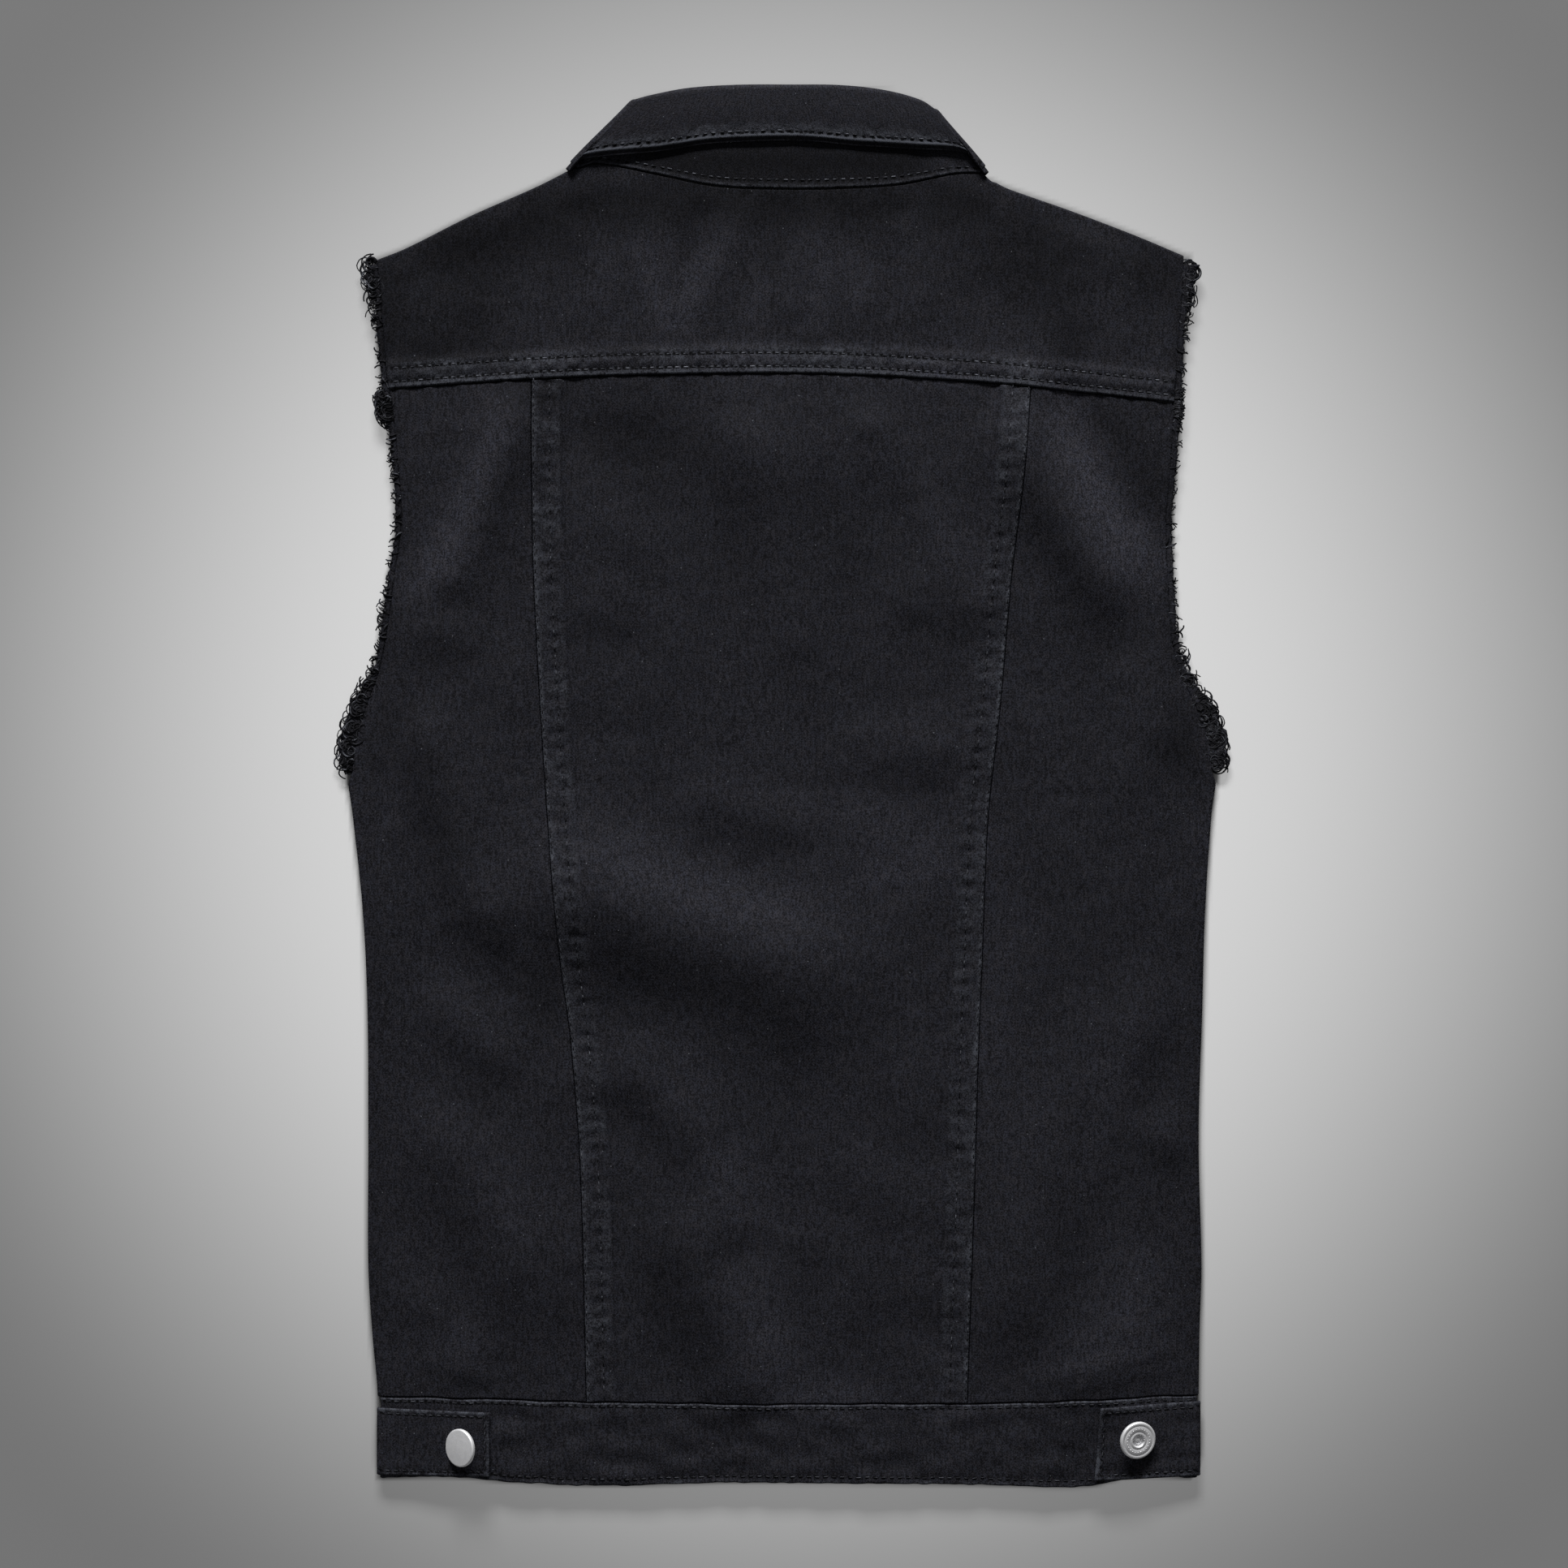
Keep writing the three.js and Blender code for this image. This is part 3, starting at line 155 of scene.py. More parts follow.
# Streaks that make the cloth's colour paler, or deeper where amount is negative. Some stand for
# washed dye; many are painted highlight and painted shade: on the lit and shaded sides of folds,
# along the turned-down edges, on the yoke below the collar, on the collar stand under the leaf
# and under the yoke seam. They are laid out as the folds are.
DYE_AND_PAINTED_SHADE = table(
    "x1 y1 x2 y2 bow wide amount",
    (-190, 270, -150, 284, 0, 26, -1.1), (-196, 240, -150, 244, 0, 14, -0.5),
    (110, 285, 150, 262, 0, 26, -0.8), (180, 276, 204, 270, 0, 16, -0.65),
    (-140, 306, 110, 306, 0, 14, -0.85), (-152, 207, -114, 206, 0, 9, -0.35),
    (-96, 180, -62, 160, 0, 16, -0.25), (-12, -262, -4, -326, 0, 14, 0.2),
    (20, -268, 64, -276, 0, 12, 0.25), (110, -150, 112, -200, 0, 11, 0.2),
    (-36, -190, -20, -240, 0, 13, 0.2), (172, -226, 196, -326, 0, 18, 0.2), (0, -20, 80, -70, 0, 22, 0.2),
    (-194, -304, -150, -300, 0, 10, 0.2), (-60, 326, 60, 326, 0, 9, -0.5),
    (-76, 290, -62, 240, 0, 8, 0.6), (-26, 296, -56, 240, -3, 8, 0.65), (26, 292, 12, 240, 0, 8, 0.5),
    (-108, 270, -100, 244, 0, 9, 0.2), (104, 262, 118, 244, 0, 10, 0.3), (60, 292, 76, 314, 0, 7, 0.7),
    (-100, 292, -92, 270, 0, 6, 0.3), (-10, 270, -20, 246, 0, 6, 0.35), (44, 276, 38, 246, 0, 6, 0.35),
    (0, 290, -10, 270, 0, 6, -0.3), (-50, 292, -60, 270, 0, 6, -0.25),
    (-110, 188, -30, 180, 0, 18, -0.45), (146, 206, 198, 104, -6, 15, 0.85),
    (-148, 196, -196, 102, 3, 11, 0.6), (-30, 168, 60, 172, 0, 12, 0.25),
    (170, 200, 204, 150, 0, 12, -0.4), (130, 170, 168, 96, 0, 14, -0.3), (0, 140, 40, 116, 0, 20, -0.25),
    (-30, 150, -14, 96, 0, 10, -0.2), (62, 116, 66, 100, 0, 10, -0.2), (80, 150, 92, 116, 0, 10, 0.25),
    (-104, 74, -84, 74, 0, 12, -0.25), (170, 80, 196, 70, 0, 16, -0.3), (-200, 74, -176, 72, 0, 12, -0.4),
    (-198, 18, -184, 0, 0, 12, -0.35), (-186, -6, -172, -50, 0, 11, -0.3),
    (-150, -96, -126, -116, 0, 13, -0.15), (-50, -30, 0, -42, 0, 16, -0.15),
    (-186, -60, -176, -76, 0, 9, 0.3), (20, 4, 84, 2, 0, 8, -0.25), (34, -6, 84, -36, 4, 13, 0.3),
    (36, -44, 96, -46, 0, 13, 0.6), (-116, -34, 40, -84, 4, 17, 0.25), (-100, -94, 10, -122, 4, 16, -0.3),
    (62, -72, 84, -78, 0, 10, -0.25), (160, -92, 184, -120, 0, 14, -0.25),
    (-66, -222, -56, -240, 0, 12, -0.3), (-72, -268, -42, -320, 0, 12, -0.3),
    (-20, -212, -4, -240, 0, 16, 0.25), (-16, -270, 0, -300, 0, 14, 0.3),
    (-170, -196, -140, -250, 0, 14, 0.25), (40, -286, 64, -294, 0, 12, -0.25),
    (116, -20, 116, -150, 0, 12, 0.2), (150, -250, 160, -200, 0, 10, -0.15),
    (214, 40, 206, 0, 0, 12, -0.35), (206, -206, 210, -200, 0, 12, -0.25),
    (150, -300, 206, -284, 0, 12, 0.2), (-212, 60, -212, 200, 0, 7, -0.35),
    (-76, 331, 76, 331, 0, 9, -1.3), (-186, 284, -124, 300, 0, 13, -0.45),
    (112, 296, 200, 276, 0, 12, -0.35), (-116, 310, 108, 310, 0, 10, -0.4), (-40, 221, 0, 221, 0, 5, 0.4),
    (28, 219, 100, 215, 0, 5, 0.5), (140, 209, 152, 208, 0, 5, 0.4), (8, 232, 18, 232, 0, 8, -0.35),
    (146, 230, 158, 228, 0, 9, -0.35), (-84, 232, -76, 232, 0, 8, -0.3),
    (-200, 228, -176, 230, 0, 9, -0.4), (164, 96, 172, 88, 0, 9, 0.4), (-218, 60, -208, 110, 0, 4, -0.3),
    (-205, 120, -213, 240, 0, 4, -0.4), (206, 110, 210, 260, 0, 4, -0.4),
    (-216, 10, -208, 44, 0, 8, -0.4), (214, 10, 208, 44, 0, 8, -0.4), (-206, 222, -140, 228, 0, 9, -0.5),
    (-150, 278, -138, 286, 0, 16, -0.4), (150, 232, 146, 282, 0, 11, -0.35),
    (-145, 206, -125, 206, 0, 8, -0.35), (-80, 160, -62, 164, 0, 14, -0.3),
    (-20, 84, -16, 78, 0, 12, -0.25), (-132, -118, -120, -118, 0, 14, -0.2),
    (-164, -168, -152, -172, 0, 12, -0.3), (-78, -216, -70, -224, 0, 12, -0.2),
    (150, 194, 156, 186, 0, 10, -0.35), (-10, -116, 30, -124, 0, 11, 0.35),
    (-48, -204, -14, -200, 0, 12, 0.4), (-136, -262, -126, -280, 0, 12, 0.35),
    (-200, -286, -160, -300, 0, 9, 0.3), (-60, -312, 56, -324, 0, 9, 0.4),
    (66, -230, 76, -262, 0, 12, 0.35), (-214, 276, -212, 224, 0, 9, -0.7),
    (-140, 296, -104, 280, 0, 13, -0.6), (-84, 210, -74, 212, 0, 7, -0.3),
    (-130, 214, -112, 206, 0, 7, -0.3), (62, 226, 98, 218, 0, 8, 0.35), (-44, 228, -6, 232, 0, 8, 0.25),
    (-154, 238, -146, 236, 0, 8, 0.3), (-206, 280, -204, 232, 0, 13, -0.55),
    (206, 276, 208, 252, 0, 12, -0.4), (-50, 222, 90, 222, 0, 6, 0.3), (96, 219, 200, 214, 0, 6, 0.25),
    (-20, -324, 32, -326, 0, 10, 0.25), (-148, 150, -132, 180, 0, 8, -0.25),
    (150, 140, 176, 92, 0, 10, 0.2), (-190, 110, -160, 128, 0, 10, 0.25),
    (-160, -96, -120, -120, 0, 13, -0.2), (96, -110, 130, -180, 0, 14, 0.2),
    (-30, 200, 60, 200, 0, 10, -0.2), (-62, 292, -58, 270, 0, 5, 0.35), (150, 232, 164, 244, 0, 8, -0.3),
    (-204, 40, -190, 16, 0, 9, -0.25), (-208, -6, -206, -22, 0, 7, 0.3), (28, 12, 44, 0, 0, 10, 0.15),
    (-204, 222, -176, 223, 0, 6, -0.35), (8, 231, 18, 231, 0, 7, -0.35), (206, 124, 208, 110, 0, 9, 0.3),
    (176, 96, 182, 88, 0, 9, 0.3), (-214, 108, -198, 100, 0, 9, 0.3), (48, 170, 58, 166, 0, 9, 0.35),
    (-130, 144, -120, 136, 0, 9, -0.3), (-34, 132, -30, 122, 0, 10, -0.3),
    (-116, 72, -104, 66, 0, 9, -0.3), (-200, 20, -190, 10, 0, 9, -0.35),
    (-188, -14, -178, -30, 0, 9, -0.3), (-180, -62, -174, -70, 0, 8, -0.35),
    (-146, -64, -142, -68, 0, 8, -0.35), (-118, -30, -112, -50, 0, 8, -0.25),
    (-140, -114, -118, -124, 0, 11, -0.25), (-104, -136, -98, -144, 0, 9, -0.35),
    (-176, -160, -160, -176, 0, 10, -0.25), (-100, -208, -66, -236, 0, 13, -0.25),
    (-102, -280, -100, -290, 0, 8, -0.45), (88, -70, 90, -80, 0, 9, -0.4),
    (84, -266, 88, -296, 0, 8, -0.4), (180, -106, 182, -116, 0, 9, -0.25),
    (-146, -86, -132, -82, 0, 8, 0.4), (-90, -44, 0, -72, 0, 18, 0.2), (-12, -204, -2, -212, 0, 9, 0.35),
    (-36, -150, -32, -168, 0, 9, 0.3), (-58, -132, -50, -140, 0, 8, 0.25),
    (-32, -258, -24, -274, 0, 8, 0.3), (66, -142, 70, -172, 0, 8, 0.2), (106, -30, 110, -44, 0, 9, 0.3),
    (166, -148, 172, -156, 0, 9, 0.3), (150, -212, 158, -222, 0, 8, 0.25),
    (188, -240, 192, -262, 0, 9, 0.25), (84, -330, 96, -338, 0, 8, 0.3), (-8, -328, 8, -334, 0, 8, 0.2),
    (190, -120, 156, -216, 0, 11, 0.4), (-166, 120, -160, 104, 0, 10, 0.35),
    (-106, 132, -96, 132, 0, 9, 0.2), (40, 15, 100, 11, 0, 9, 0.3), (-36, -20, -8, -24, 0, 9, 0.35),
    (120, -308, 206, -306, 0, 8, 0.25), (210, 60, 208, 110, 0, 7, -0.35),
    (-222, -60, -219, -320, 0, 8, -0.2), (222, -60, 220, -320, 0, 7, -0.2),
)


def lerp(a, b, t):
    return a + (b - a) * t


def smooth(t):
    """From 0 to 1 without corners as t goes from 0 to 1."""
    s = np.clip(t, 0, 1)
    return s * s * (3 - 2 * s)


def curve(rows, by, column, at):
    """A column of a table at a station, as a smooth curve through its rows."""
    x, v = rows[by], rows[column]
    inner = (v[2:] - v[:-2]) / (x[2:] - x[:-2])
    ends = np.diff(v)[[0, -1]] / np.diff(x)[[0, -1]]
    slope = np.concatenate([ends[:1], inner, ends[1:]])
    s = np.clip(at, x[0], x[-1])
    i = np.clip(np.searchsorted(x, s) - 1, 0, len(x) - 2)
    span = x[i + 1] - x[i]
    t = (s - x[i]) / span
    start = (2 * t**3 - 3 * t**2 + 1) * v[i] + (t**3 - 2 * t**2 + t) * span * slope[i]
    return start + (3 * t**2 - 2 * t**3) * v[i + 1] + (t**3 - t**2) * span * slope[i + 1]


def ripples(x, y, size, seed):
    """Soft uneven waves about size across, mostly between -1 and 1."""
    chance = np.random.default_rng(seed)
    total = 0
    for _ in range(10):
        angle, phase = chance.uniform(0, 2 * math.pi, 2)
        pace = 2 * math.pi / (size * chance.uniform(0.7, 1.5))
        total = total + np.sin((x * math.cos(angle) + y * math.sin(angle)) * pace + phase)
    return total / 4


def front_foot(x, y):
    """How far the fronts lie off the surface, over the collar leaves and over the buttons."""
    over_collar = smooth((y - LIFT_FROM) / LIFT_LONG)
    over_buttons = smooth(1 - (np.abs(x) - PLACKET_HALF) / 28) * (BUTTON_LIFT / COLLAR_LIFT)
    return COLLAR_LIFT * (1 - (1 - over_collar) * (1 - over_buttons))


def overlap_step(x):
    return OVERLAP_LIFT * smooth(1 - (x - PLACKET_HALF) / 18)


def edge_at(y, side):
    """The outline's distance from the middle at a height, negative on the left."""
    return np.where(side < 0, curve(BACK_EDGE, "y", "left", y), curve(BACK_EDGE, "y", "right", y))


def shoulder_turn(x):
    """1 where the yoke turns down at a shoulder seam, 0 along the neck."""
    return smooth((NECK_POINT[0] + 1 - x) / 7) + smooth((x - NECK_POINT[1] + 1) / 7)


def shoulder_line(x):
    left = curve(SHOULDER_LEFT, "x", "y", x)
    return np.where(x < 0, left, curve(SHOULDER_RIGHT, "x", "y", x))


def fold_sum(folds, x, y):
    """What a table of folds or of streaks adds at a point."""
    total = np.zeros(np.broadcast(x, y).shape)
    for x1, y1, x2, y2, bow, wide, amount in zip(*folds.values()):
        dx, dy = x2 - x1, y2 - y1
        long = math.hypot(dx, dy)
        t = ((x - x1) * dx + (y - y1) * dy) / long**2
        across = ((y - y1) * dx - (x - x1) * dy) / long - bow * 4 * t * (1 - t)
        fade = wide / long
        ends = smooth((t + fade) / (2 * fade)) * smooth((1 + fade - t) / (2 * fade))
        total += amount * ends * np.exp(-((across / wide) ** 2))
    return total


def dye_and_painted_shade_stops(x, y):
    """How many stops paler or deeper the colour is: washed dye, painted highlight and painted shade."""
    return FADE_GAIN * fold_sum(DYE_AND_PAINTED_SHADE, x, y)


def crumple(x, y):
    """Small creases and the uneven hand of the cloth."""
    uneven = 0.5 * ripples(x, y, 90, 3) + 0.3 * ripples(x, y, 42, 4) + 0.1 * ripples(x, y, 17, 5)
    return fold_sum(CREASES, x, y) + uneven


def back_top(x, y):
    """Top of the back layer, which nowhere sinks into the fronts under it."""
    side = np.abs(edge_at(y, x)) - np.abs(x)
    shoulder = shoulder_line(x) + 60 * (1 - shoulder_turn(x)) - y
    rise = smooth(side / EDGE_SOFT) * smooth(shoulder / EDGE_SOFT)
    near = smooth(side / CREASE_SOFT) * smooth(shoulder / CREASE_SOFT)
    edge = EDGE_TOP + front_foot(x, y)
    closed = 0.6 * np.exp(-((x / 40) ** 2))
    top = edge + (BACK_TOP + closed - edge + fold_sum(FOLDS, x, y)) * rise + crumple(x, y) * near
    least = front_foot(x, y) + overlap_step(np.abs(x)) + 2 * CLOTH + LEAST_PLAY
    sharp = 3
    return np.logaddexp(sharp * top, sharp * least) / sharp


def yoke_seam(x):
    return curve(YOKE_SEAM, "x", "y", x)


def band_top_edge(x):
    return curve(BAND_TOP, "x", "y", x) + 0.35 * ripples(x, 0 * x, 26, 56)


def panel_seam(y, side):
    return curve(PANEL_SEAM, "y", "left" if side < 0 else "right", y)


def gathers(apart, along, seed):
    """Short ripples that run out of a sewn seam and fade within a few centimetres."""
    chance = np.random.default_rng(seed)
    total = 0
    for size in (8, 11, 14, 19):
        total = total + np.sin(along * 2 * math.pi / size + chance.uniform(0, 6))
    return 0.11 * total * np.exp(-np.abs(apart) / 11)


def panel_gathers(x, y):
    return gathers(yoke_seam(x) - y, x, 21) + gathers(y - band_top_edge(x), x, 22)


def shares(long, step, fine=(0, 0.4, 0.9, 1.6)):
    """Stations from 0 to 1 along a length, closer together at its two ends."""
    count = max(2, round((long - 2 * fine[-1]) / step) + 1)
    ends = np.array(fine[:-1])
    even = np.linspace(fine[-1], long - fine[-1], count)
    return np.concatenate([ends, even, long - ends[::-1]]) / long


def near_line(apart, wide):
    """1 on a line, falling to 0 about wide away from it."""
    return np.exp(-((apart / wide) ** 2))


def build(name, points, faces, finish, **marks):
    """A mesh object from points in millimetres, with values kept at each point."""
    mesh = bpy.data.meshes.new(name)
    mesh.from_pydata((points * MM).tolist(), [], faces)
    for mark, values in marks.items():
        kind, key = ("FLOAT_VECTOR", "vector") if values.ndim == 2 else ("FLOAT", "value")
        mesh.attributes.new(mark, kind, "POINT").data.foreach_set(key, values.ravel())
    mesh.polygons.foreach_set("use_smooth", [True] * len(mesh.polygons))
    mesh.materials.append(finish.material)
    piece = bpy.data.objects.new(name, mesh)
    scene.collection.objects.link(piece)
    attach(piece, "root")
    return piece


def wall(name, grid, out, into, wear=0.0, plan=None, stitched=(0, FAR, FAR)):
    """A closed wall of denim from a grid of points on its middle layer, with rounded rims.
    out and into are its depths on the side that the grid faces and on the other one. stitched is
    the way walked along a seam and the distances from its two rows of stitches."""
    normal = np.cross(np.gradient(grid, axis=0), np.gradient(grid, axis=1))
    normal /= np.linalg.norm(normal, axis=2, keepdims=True)

    def to_rim(axis):
        step = np.linalg.norm(np.diff(grid, axis=axis), axis=2)
        start = np.zeros_like(step.take([0], axis))
        walked = np.concatenate([start, np.cumsum(step, axis)], axis)
        return np.minimum(walked, walked.take([-1], axis) - walked)

    inside = np.clip(np.minimum(to_rim(0), to_rim(1)) / (0.6 * CLOTH), 0, 1)
    soft = lerp(0.35, 1, np.sqrt(1 - (1 - inside) ** 2))
    outer = grid + normal * (out * soft)[..., None]
    inner = grid - normal * (into * soft)[..., None]
    columns, rows = grid.shape[:2]
    index = np.arange(columns * rows).reshape(columns, rows)
    a, b, c, d = index[:-1, :-1], index[1:, :-1], index[1:, 1:], index[:-1, 1:]
    top = np.stack([a, b, c, d], -1).reshape(-1, 4)
    under = np.stack([a, d, c, b], -1).reshape(-1, 4) + columns * rows
    ring = np.concatenate([index[:-1, 0], index[-1, :-1], index[:0:-1, -1], index[0, :0:-1]])
    after = np.roll(ring, -1)
    rim = np.stack([ring + columns * rows, after + columns * rows, after, ring], -1)
    points = np.concatenate([outer.reshape(-1, 3), inner.reshape(-1, 3)])
    cloth = grid if plan is None else np.dstack([*plan, np.zeros_like(plan[0])])
    worn = np.broadcast_to(wear, (columns, rows)).ravel()
    # The fade mark: washed dye, and painted highlight and painted shade, from the streak table.
    faded_and_shaded = dye_and_painted_shade_stops(grid[..., 0], grid[..., 1]).ravel()
    sewn = np.stack([np.broadcast_to(v, (columns, rows)).ravel() for v in stitched], 1).astype(float)
    return build(
        name, points, np.concatenate([top, under, rim]).tolist(), denim,
        cloth=np.tile(cloth.reshape(-1, 3), (2, 1)), wear=np.concatenate([worn, 0 * worn]),
        fade=np.concatenate([faded_and_shaded, faded_and_shaded]), stitched=np.concatenate([sewn, 0 * sewn + FAR]),
    )


class Value:
    """An output socket of a material, which adds and multiplies as a number does."""

    def __init__(self, finish, socket):
        self.finish, self.socket = finish, socket

    def maths(self, operation, a, b=0.0):
        return self.finish.node("ShaderNodeMath", {"operation": operation}, {0: a, 1: b})

    def through(self, operation, *others):
        """This value put through an operation that has no sign of its own."""
        return self.maths(operation, self, *others)

    def output(self, key):
        """Another output of the node that this value comes from."""
        return Value(self.finish, self.socket.node.outputs[key])

    def __add__(self, other):
        return self.maths("ADD", self, other)

    def __radd__(self, other):
        return self.maths("ADD", other, self)

    def __sub__(self, other):
        return self.maths("SUBTRACT", self, other)

    def __rsub__(self, other):
        return self.maths("SUBTRACT", other, self)

    def __mul__(self, other):
        return self.maths("MULTIPLY", self, other)

    def __rmul__(self, other):
        return self.maths("MULTIPLY", other, self)

    def between(self, low, high):
        """0 below low, 1 above high, and a soft step between."""
        settings = {"interpolation_type": "SMOOTHSTEP", "clamp": True}
        return self.finish.node("ShaderNodeMapRange", settings, {0: self, 1: low, 2: high})


class Finish:
    """A material and the nodes in it."""

    def __init__(self, name):
        self.material = bpy.data.materials.new(name)
        self.material.use_nodes = True
        self.tree = self.material.node_tree
        self.tree.nodes.clear()

    def node(self, kind, settings=None, inputs=None, output=0):
        made = self.tree.nodes.new(kind)
        for name, value in (settings or {}).items():
            setattr(made, name, value)
        for key, value in (inputs or {}).items():
            if isinstance(value, Value):
                self.tree.links.new(value.socket, made.inputs[key])
            else:
                made.inputs[key].default_value = value
        return Value(self, made.outputs[output])

    def mark(self, name, output="Fac"):
        return self.node("ShaderNodeAttribute", {"attribute_name": name}, output=output)

    def noise(self, place, scale, detail=2.0):
        inputs = {"Vector": place, "Scale": scale, "Detail": detail}
        return self.node("ShaderNodeTexNoise", None, inputs)

    def mixed(self, factor, a, b):
        return self.node("ShaderNodeMix", {"data_type": "RGBA"}, {0: factor, 6: a, 7: b}, 2)

    def stretched(self, place, factors):
        return self.node("ShaderNodeVectorMath", {"operation": "MULTIPLY"}, {0: place, 1: factors})

    def surface(self, **inputs):
        """Principled shader with the given sockets, as the material's surface."""
        named = {name.replace("_", " "): value for name, value in inputs.items()}
        shader = self.node("ShaderNodeBsdfPrincipled", None, named, "BSDF")
        output = self.tree.nodes.new("ShaderNodeOutputMaterial")
        self.tree.links.new(shader.socket, output.inputs["Surface"])


# Black twill: warp-faced diagonal ribs of dyed yarn, uneven slubs along the warp, and pale
# fibres where the yarn is rubbed along seams and edges.
DYE_DEEP = (0.005, 0.0049, 0.006, 1)
DYE_WASHED = (0.022, 0.0229, 0.0305, 1)
DYE_BROWN = (0.024, 0.0233, 0.0282, 1)
RUBBED = (0.05, 0.0535, 0.0645, 1)
# painted shade in the needle holes
HOLE_SHADE = (0.003, 0.003, 0.0036, 1)
LINT = (0.09, 0.095, 0.107, 1)
STITCH_PITCH = 4.4
TWILL_PITCH = 0.78  # across the diagonal ribs
TWILL_ANGLE = math.radians(27)  # of the rib's normal from the weft
denim = Finish("black_denim")
place = denim.mark("cloth", "Vector")
weft = denim.node("ShaderNodeSeparateXYZ", None, {0: place})
warp = weft.output(1)
slub = denim.noise(denim.stretched(place, (1.0, 0.2, 1)), 0.9, 3.0)
blotch = denim.noise(place, 0.045, 3.0)
cast = denim.noise(place, 0.3, 3.0)
grain = denim.noise(place, 1.2, 4.0)
lumps = denim.noise(place, 0.4, 2.0)
pace = 2 * math.pi / TWILL_PITCH
diagonal = weft * (pace * math.cos(TWILL_ANGLE)) - warp * (pace * math.sin(TWILL_ANGLE))
rib = (diagonal + grain * 2.4).through("SINE") * 0.5 + 0.5
tone = blotch * 0.12 + slub * 1.1 + grain * 2.4 + rib * 0.25 - 1.47
fibre = denim.node("ShaderNodeTexVoronoi", None, {"Vector": place, "Scale": 0.24}, "Distance")
lot = denim.node("ShaderNodeSeparateColor", None, {0: fibre.output("Color")})
lint = (1 - fibre.between(0.04, 0.1)) * lot.between(0.76, 0.84)
rubbed = (denim.mark("wear") * (grain * 2.8 + lumps * 2.8 - 1.8)).between(0.04, 0.95)
washed = denim.mixed(cast.between(0.35, 0.65), DYE_BROWN, DYE_WASHED)
dyed_and_shaded = denim.mixed(tone.between(0.0, 1.0), DYE_DEEP, washed)
# The fade mark scales the colour: washed dye, and painted highlight and painted shade on folds, edges, the
# yoke below the collar and the collar stand.
paler = denim.node("ShaderNodeMath", {"operation": "POWER"}, {0: 2.0, 1: denim.mark("fade")})
dyed_and_shaded = denim.node("ShaderNodeVectorMath", {"operation": "SCALE"}, {0: dyed_and_shaded, "Scale": paler})
# Painted shade: a dark dot in each needle hole along the rows of stitches.
walked = denim.node("ShaderNodeSeparateXYZ", None, {0: denim.mark("stitched", "Vector")})
to_row, to_other = [walked.output(k).through("ABSOLUTE") for k in (1, 2)]
in_row = 1 - to_row.through("MINIMUM", to_other).between(0.5, 1.2)
beat = (walked * (2 * math.pi / STITCH_PITCH)).through("COSINE")
hole_shade = in_row * beat.between(0.1, 0.8)
cloth_colour = denim.mixed(rubbed, denim.mixed(lint, dyed_and_shaded, LINT), RUBBED)
colour = denim.mixed(hole_shade, cloth_colour, HOLE_SHADE)
relief = rib * 0.5 + slub * 0.6 + grain * 1.2
bump = denim.node("ShaderNodeBump", None, {"Strength": 0.55, "Distance": 0.00022, "Height": relief})
denim.surface(
    Base_Color=colour, Roughness=0.62 + slub * 0.16, Normal=bump, Specular_IOR_Level=0.045,
)

# Sewing thread: black polyester cotton, greyer than the cloth where it lies proud.
THREAD_DARK = (0.0075, 0.0075, 0.009, 1)
THREAD_PALE = (0.12, 0.126, 0.146, 1)
thread = Finish("cotton_thread")
spun = thread.noise(thread.mark("cloth", "Vector"), 0.35, 2.0)
thread.surface(
    Base_Color=thread.mixed(thread.mark("wear") * spun.between(0.35, 0.7), THREAD_DARK, THREAD_PALE),
    Roughness=0.6 + spun * 0.2, Specular_IOR_Level=0.06,
)

STITCH_LONG = 3.0
THREAD_RADIUS = 0.34
AIM = 0.8  # how far to each side of a stitch the seam's direction is taken
# One stitch: where each of its rings lies along it, its share of the radius and its height.
STITCH = table(
    "along radius up", (-0.5, 0.45, -0.3), (-0.24, 1, 0.1), (0.24, 1, 0.1), (0.5, 0.45, -0.3)
)
STITCH_SIDES = 5


def tubes(lines, radius, sides):
    """Points and faces of tubes round lines, given as an array of lines of points."""
    ahead = np.gradient(lines, axis=1)
    ahead /= np.maximum(np.linalg.norm(ahead, axis=2, keepdims=True), 1e-9)
    flat = np.cross(ahead, (0.0, 0.0, 1.0))
    flat /= np.maximum(np.linalg.norm(flat, axis=2, keepdims=True), 1e-9)
    high = np.cross(flat, ahead)
    angle = np.arange(sides) * 2 * math.pi / sides
    ring = flat[:, :, None] * np.cos(angle)[:, None] + high[:, :, None] * np.sin(angle)[:, None]
    points = lines[:, :, None] + ring * radius[..., None, None]
    count, rings = lines.shape[:2]
    index = np.arange(count * rings * sides).reshape(count, rings, sides)
    near, far = index[:, :-1], index[:, 1:]
    wall_faces = np.stack([near, far, np.roll(far, -1, 2), np.roll(near, -1, 2)], -1)
    ends = [index[:, 0, :], index[:, -1, ::-1]]
    faces = wall_faces.reshape(-1, 4).tolist() + np.concatenate(ends).tolist()
    return points.reshape(-1, 3), faces


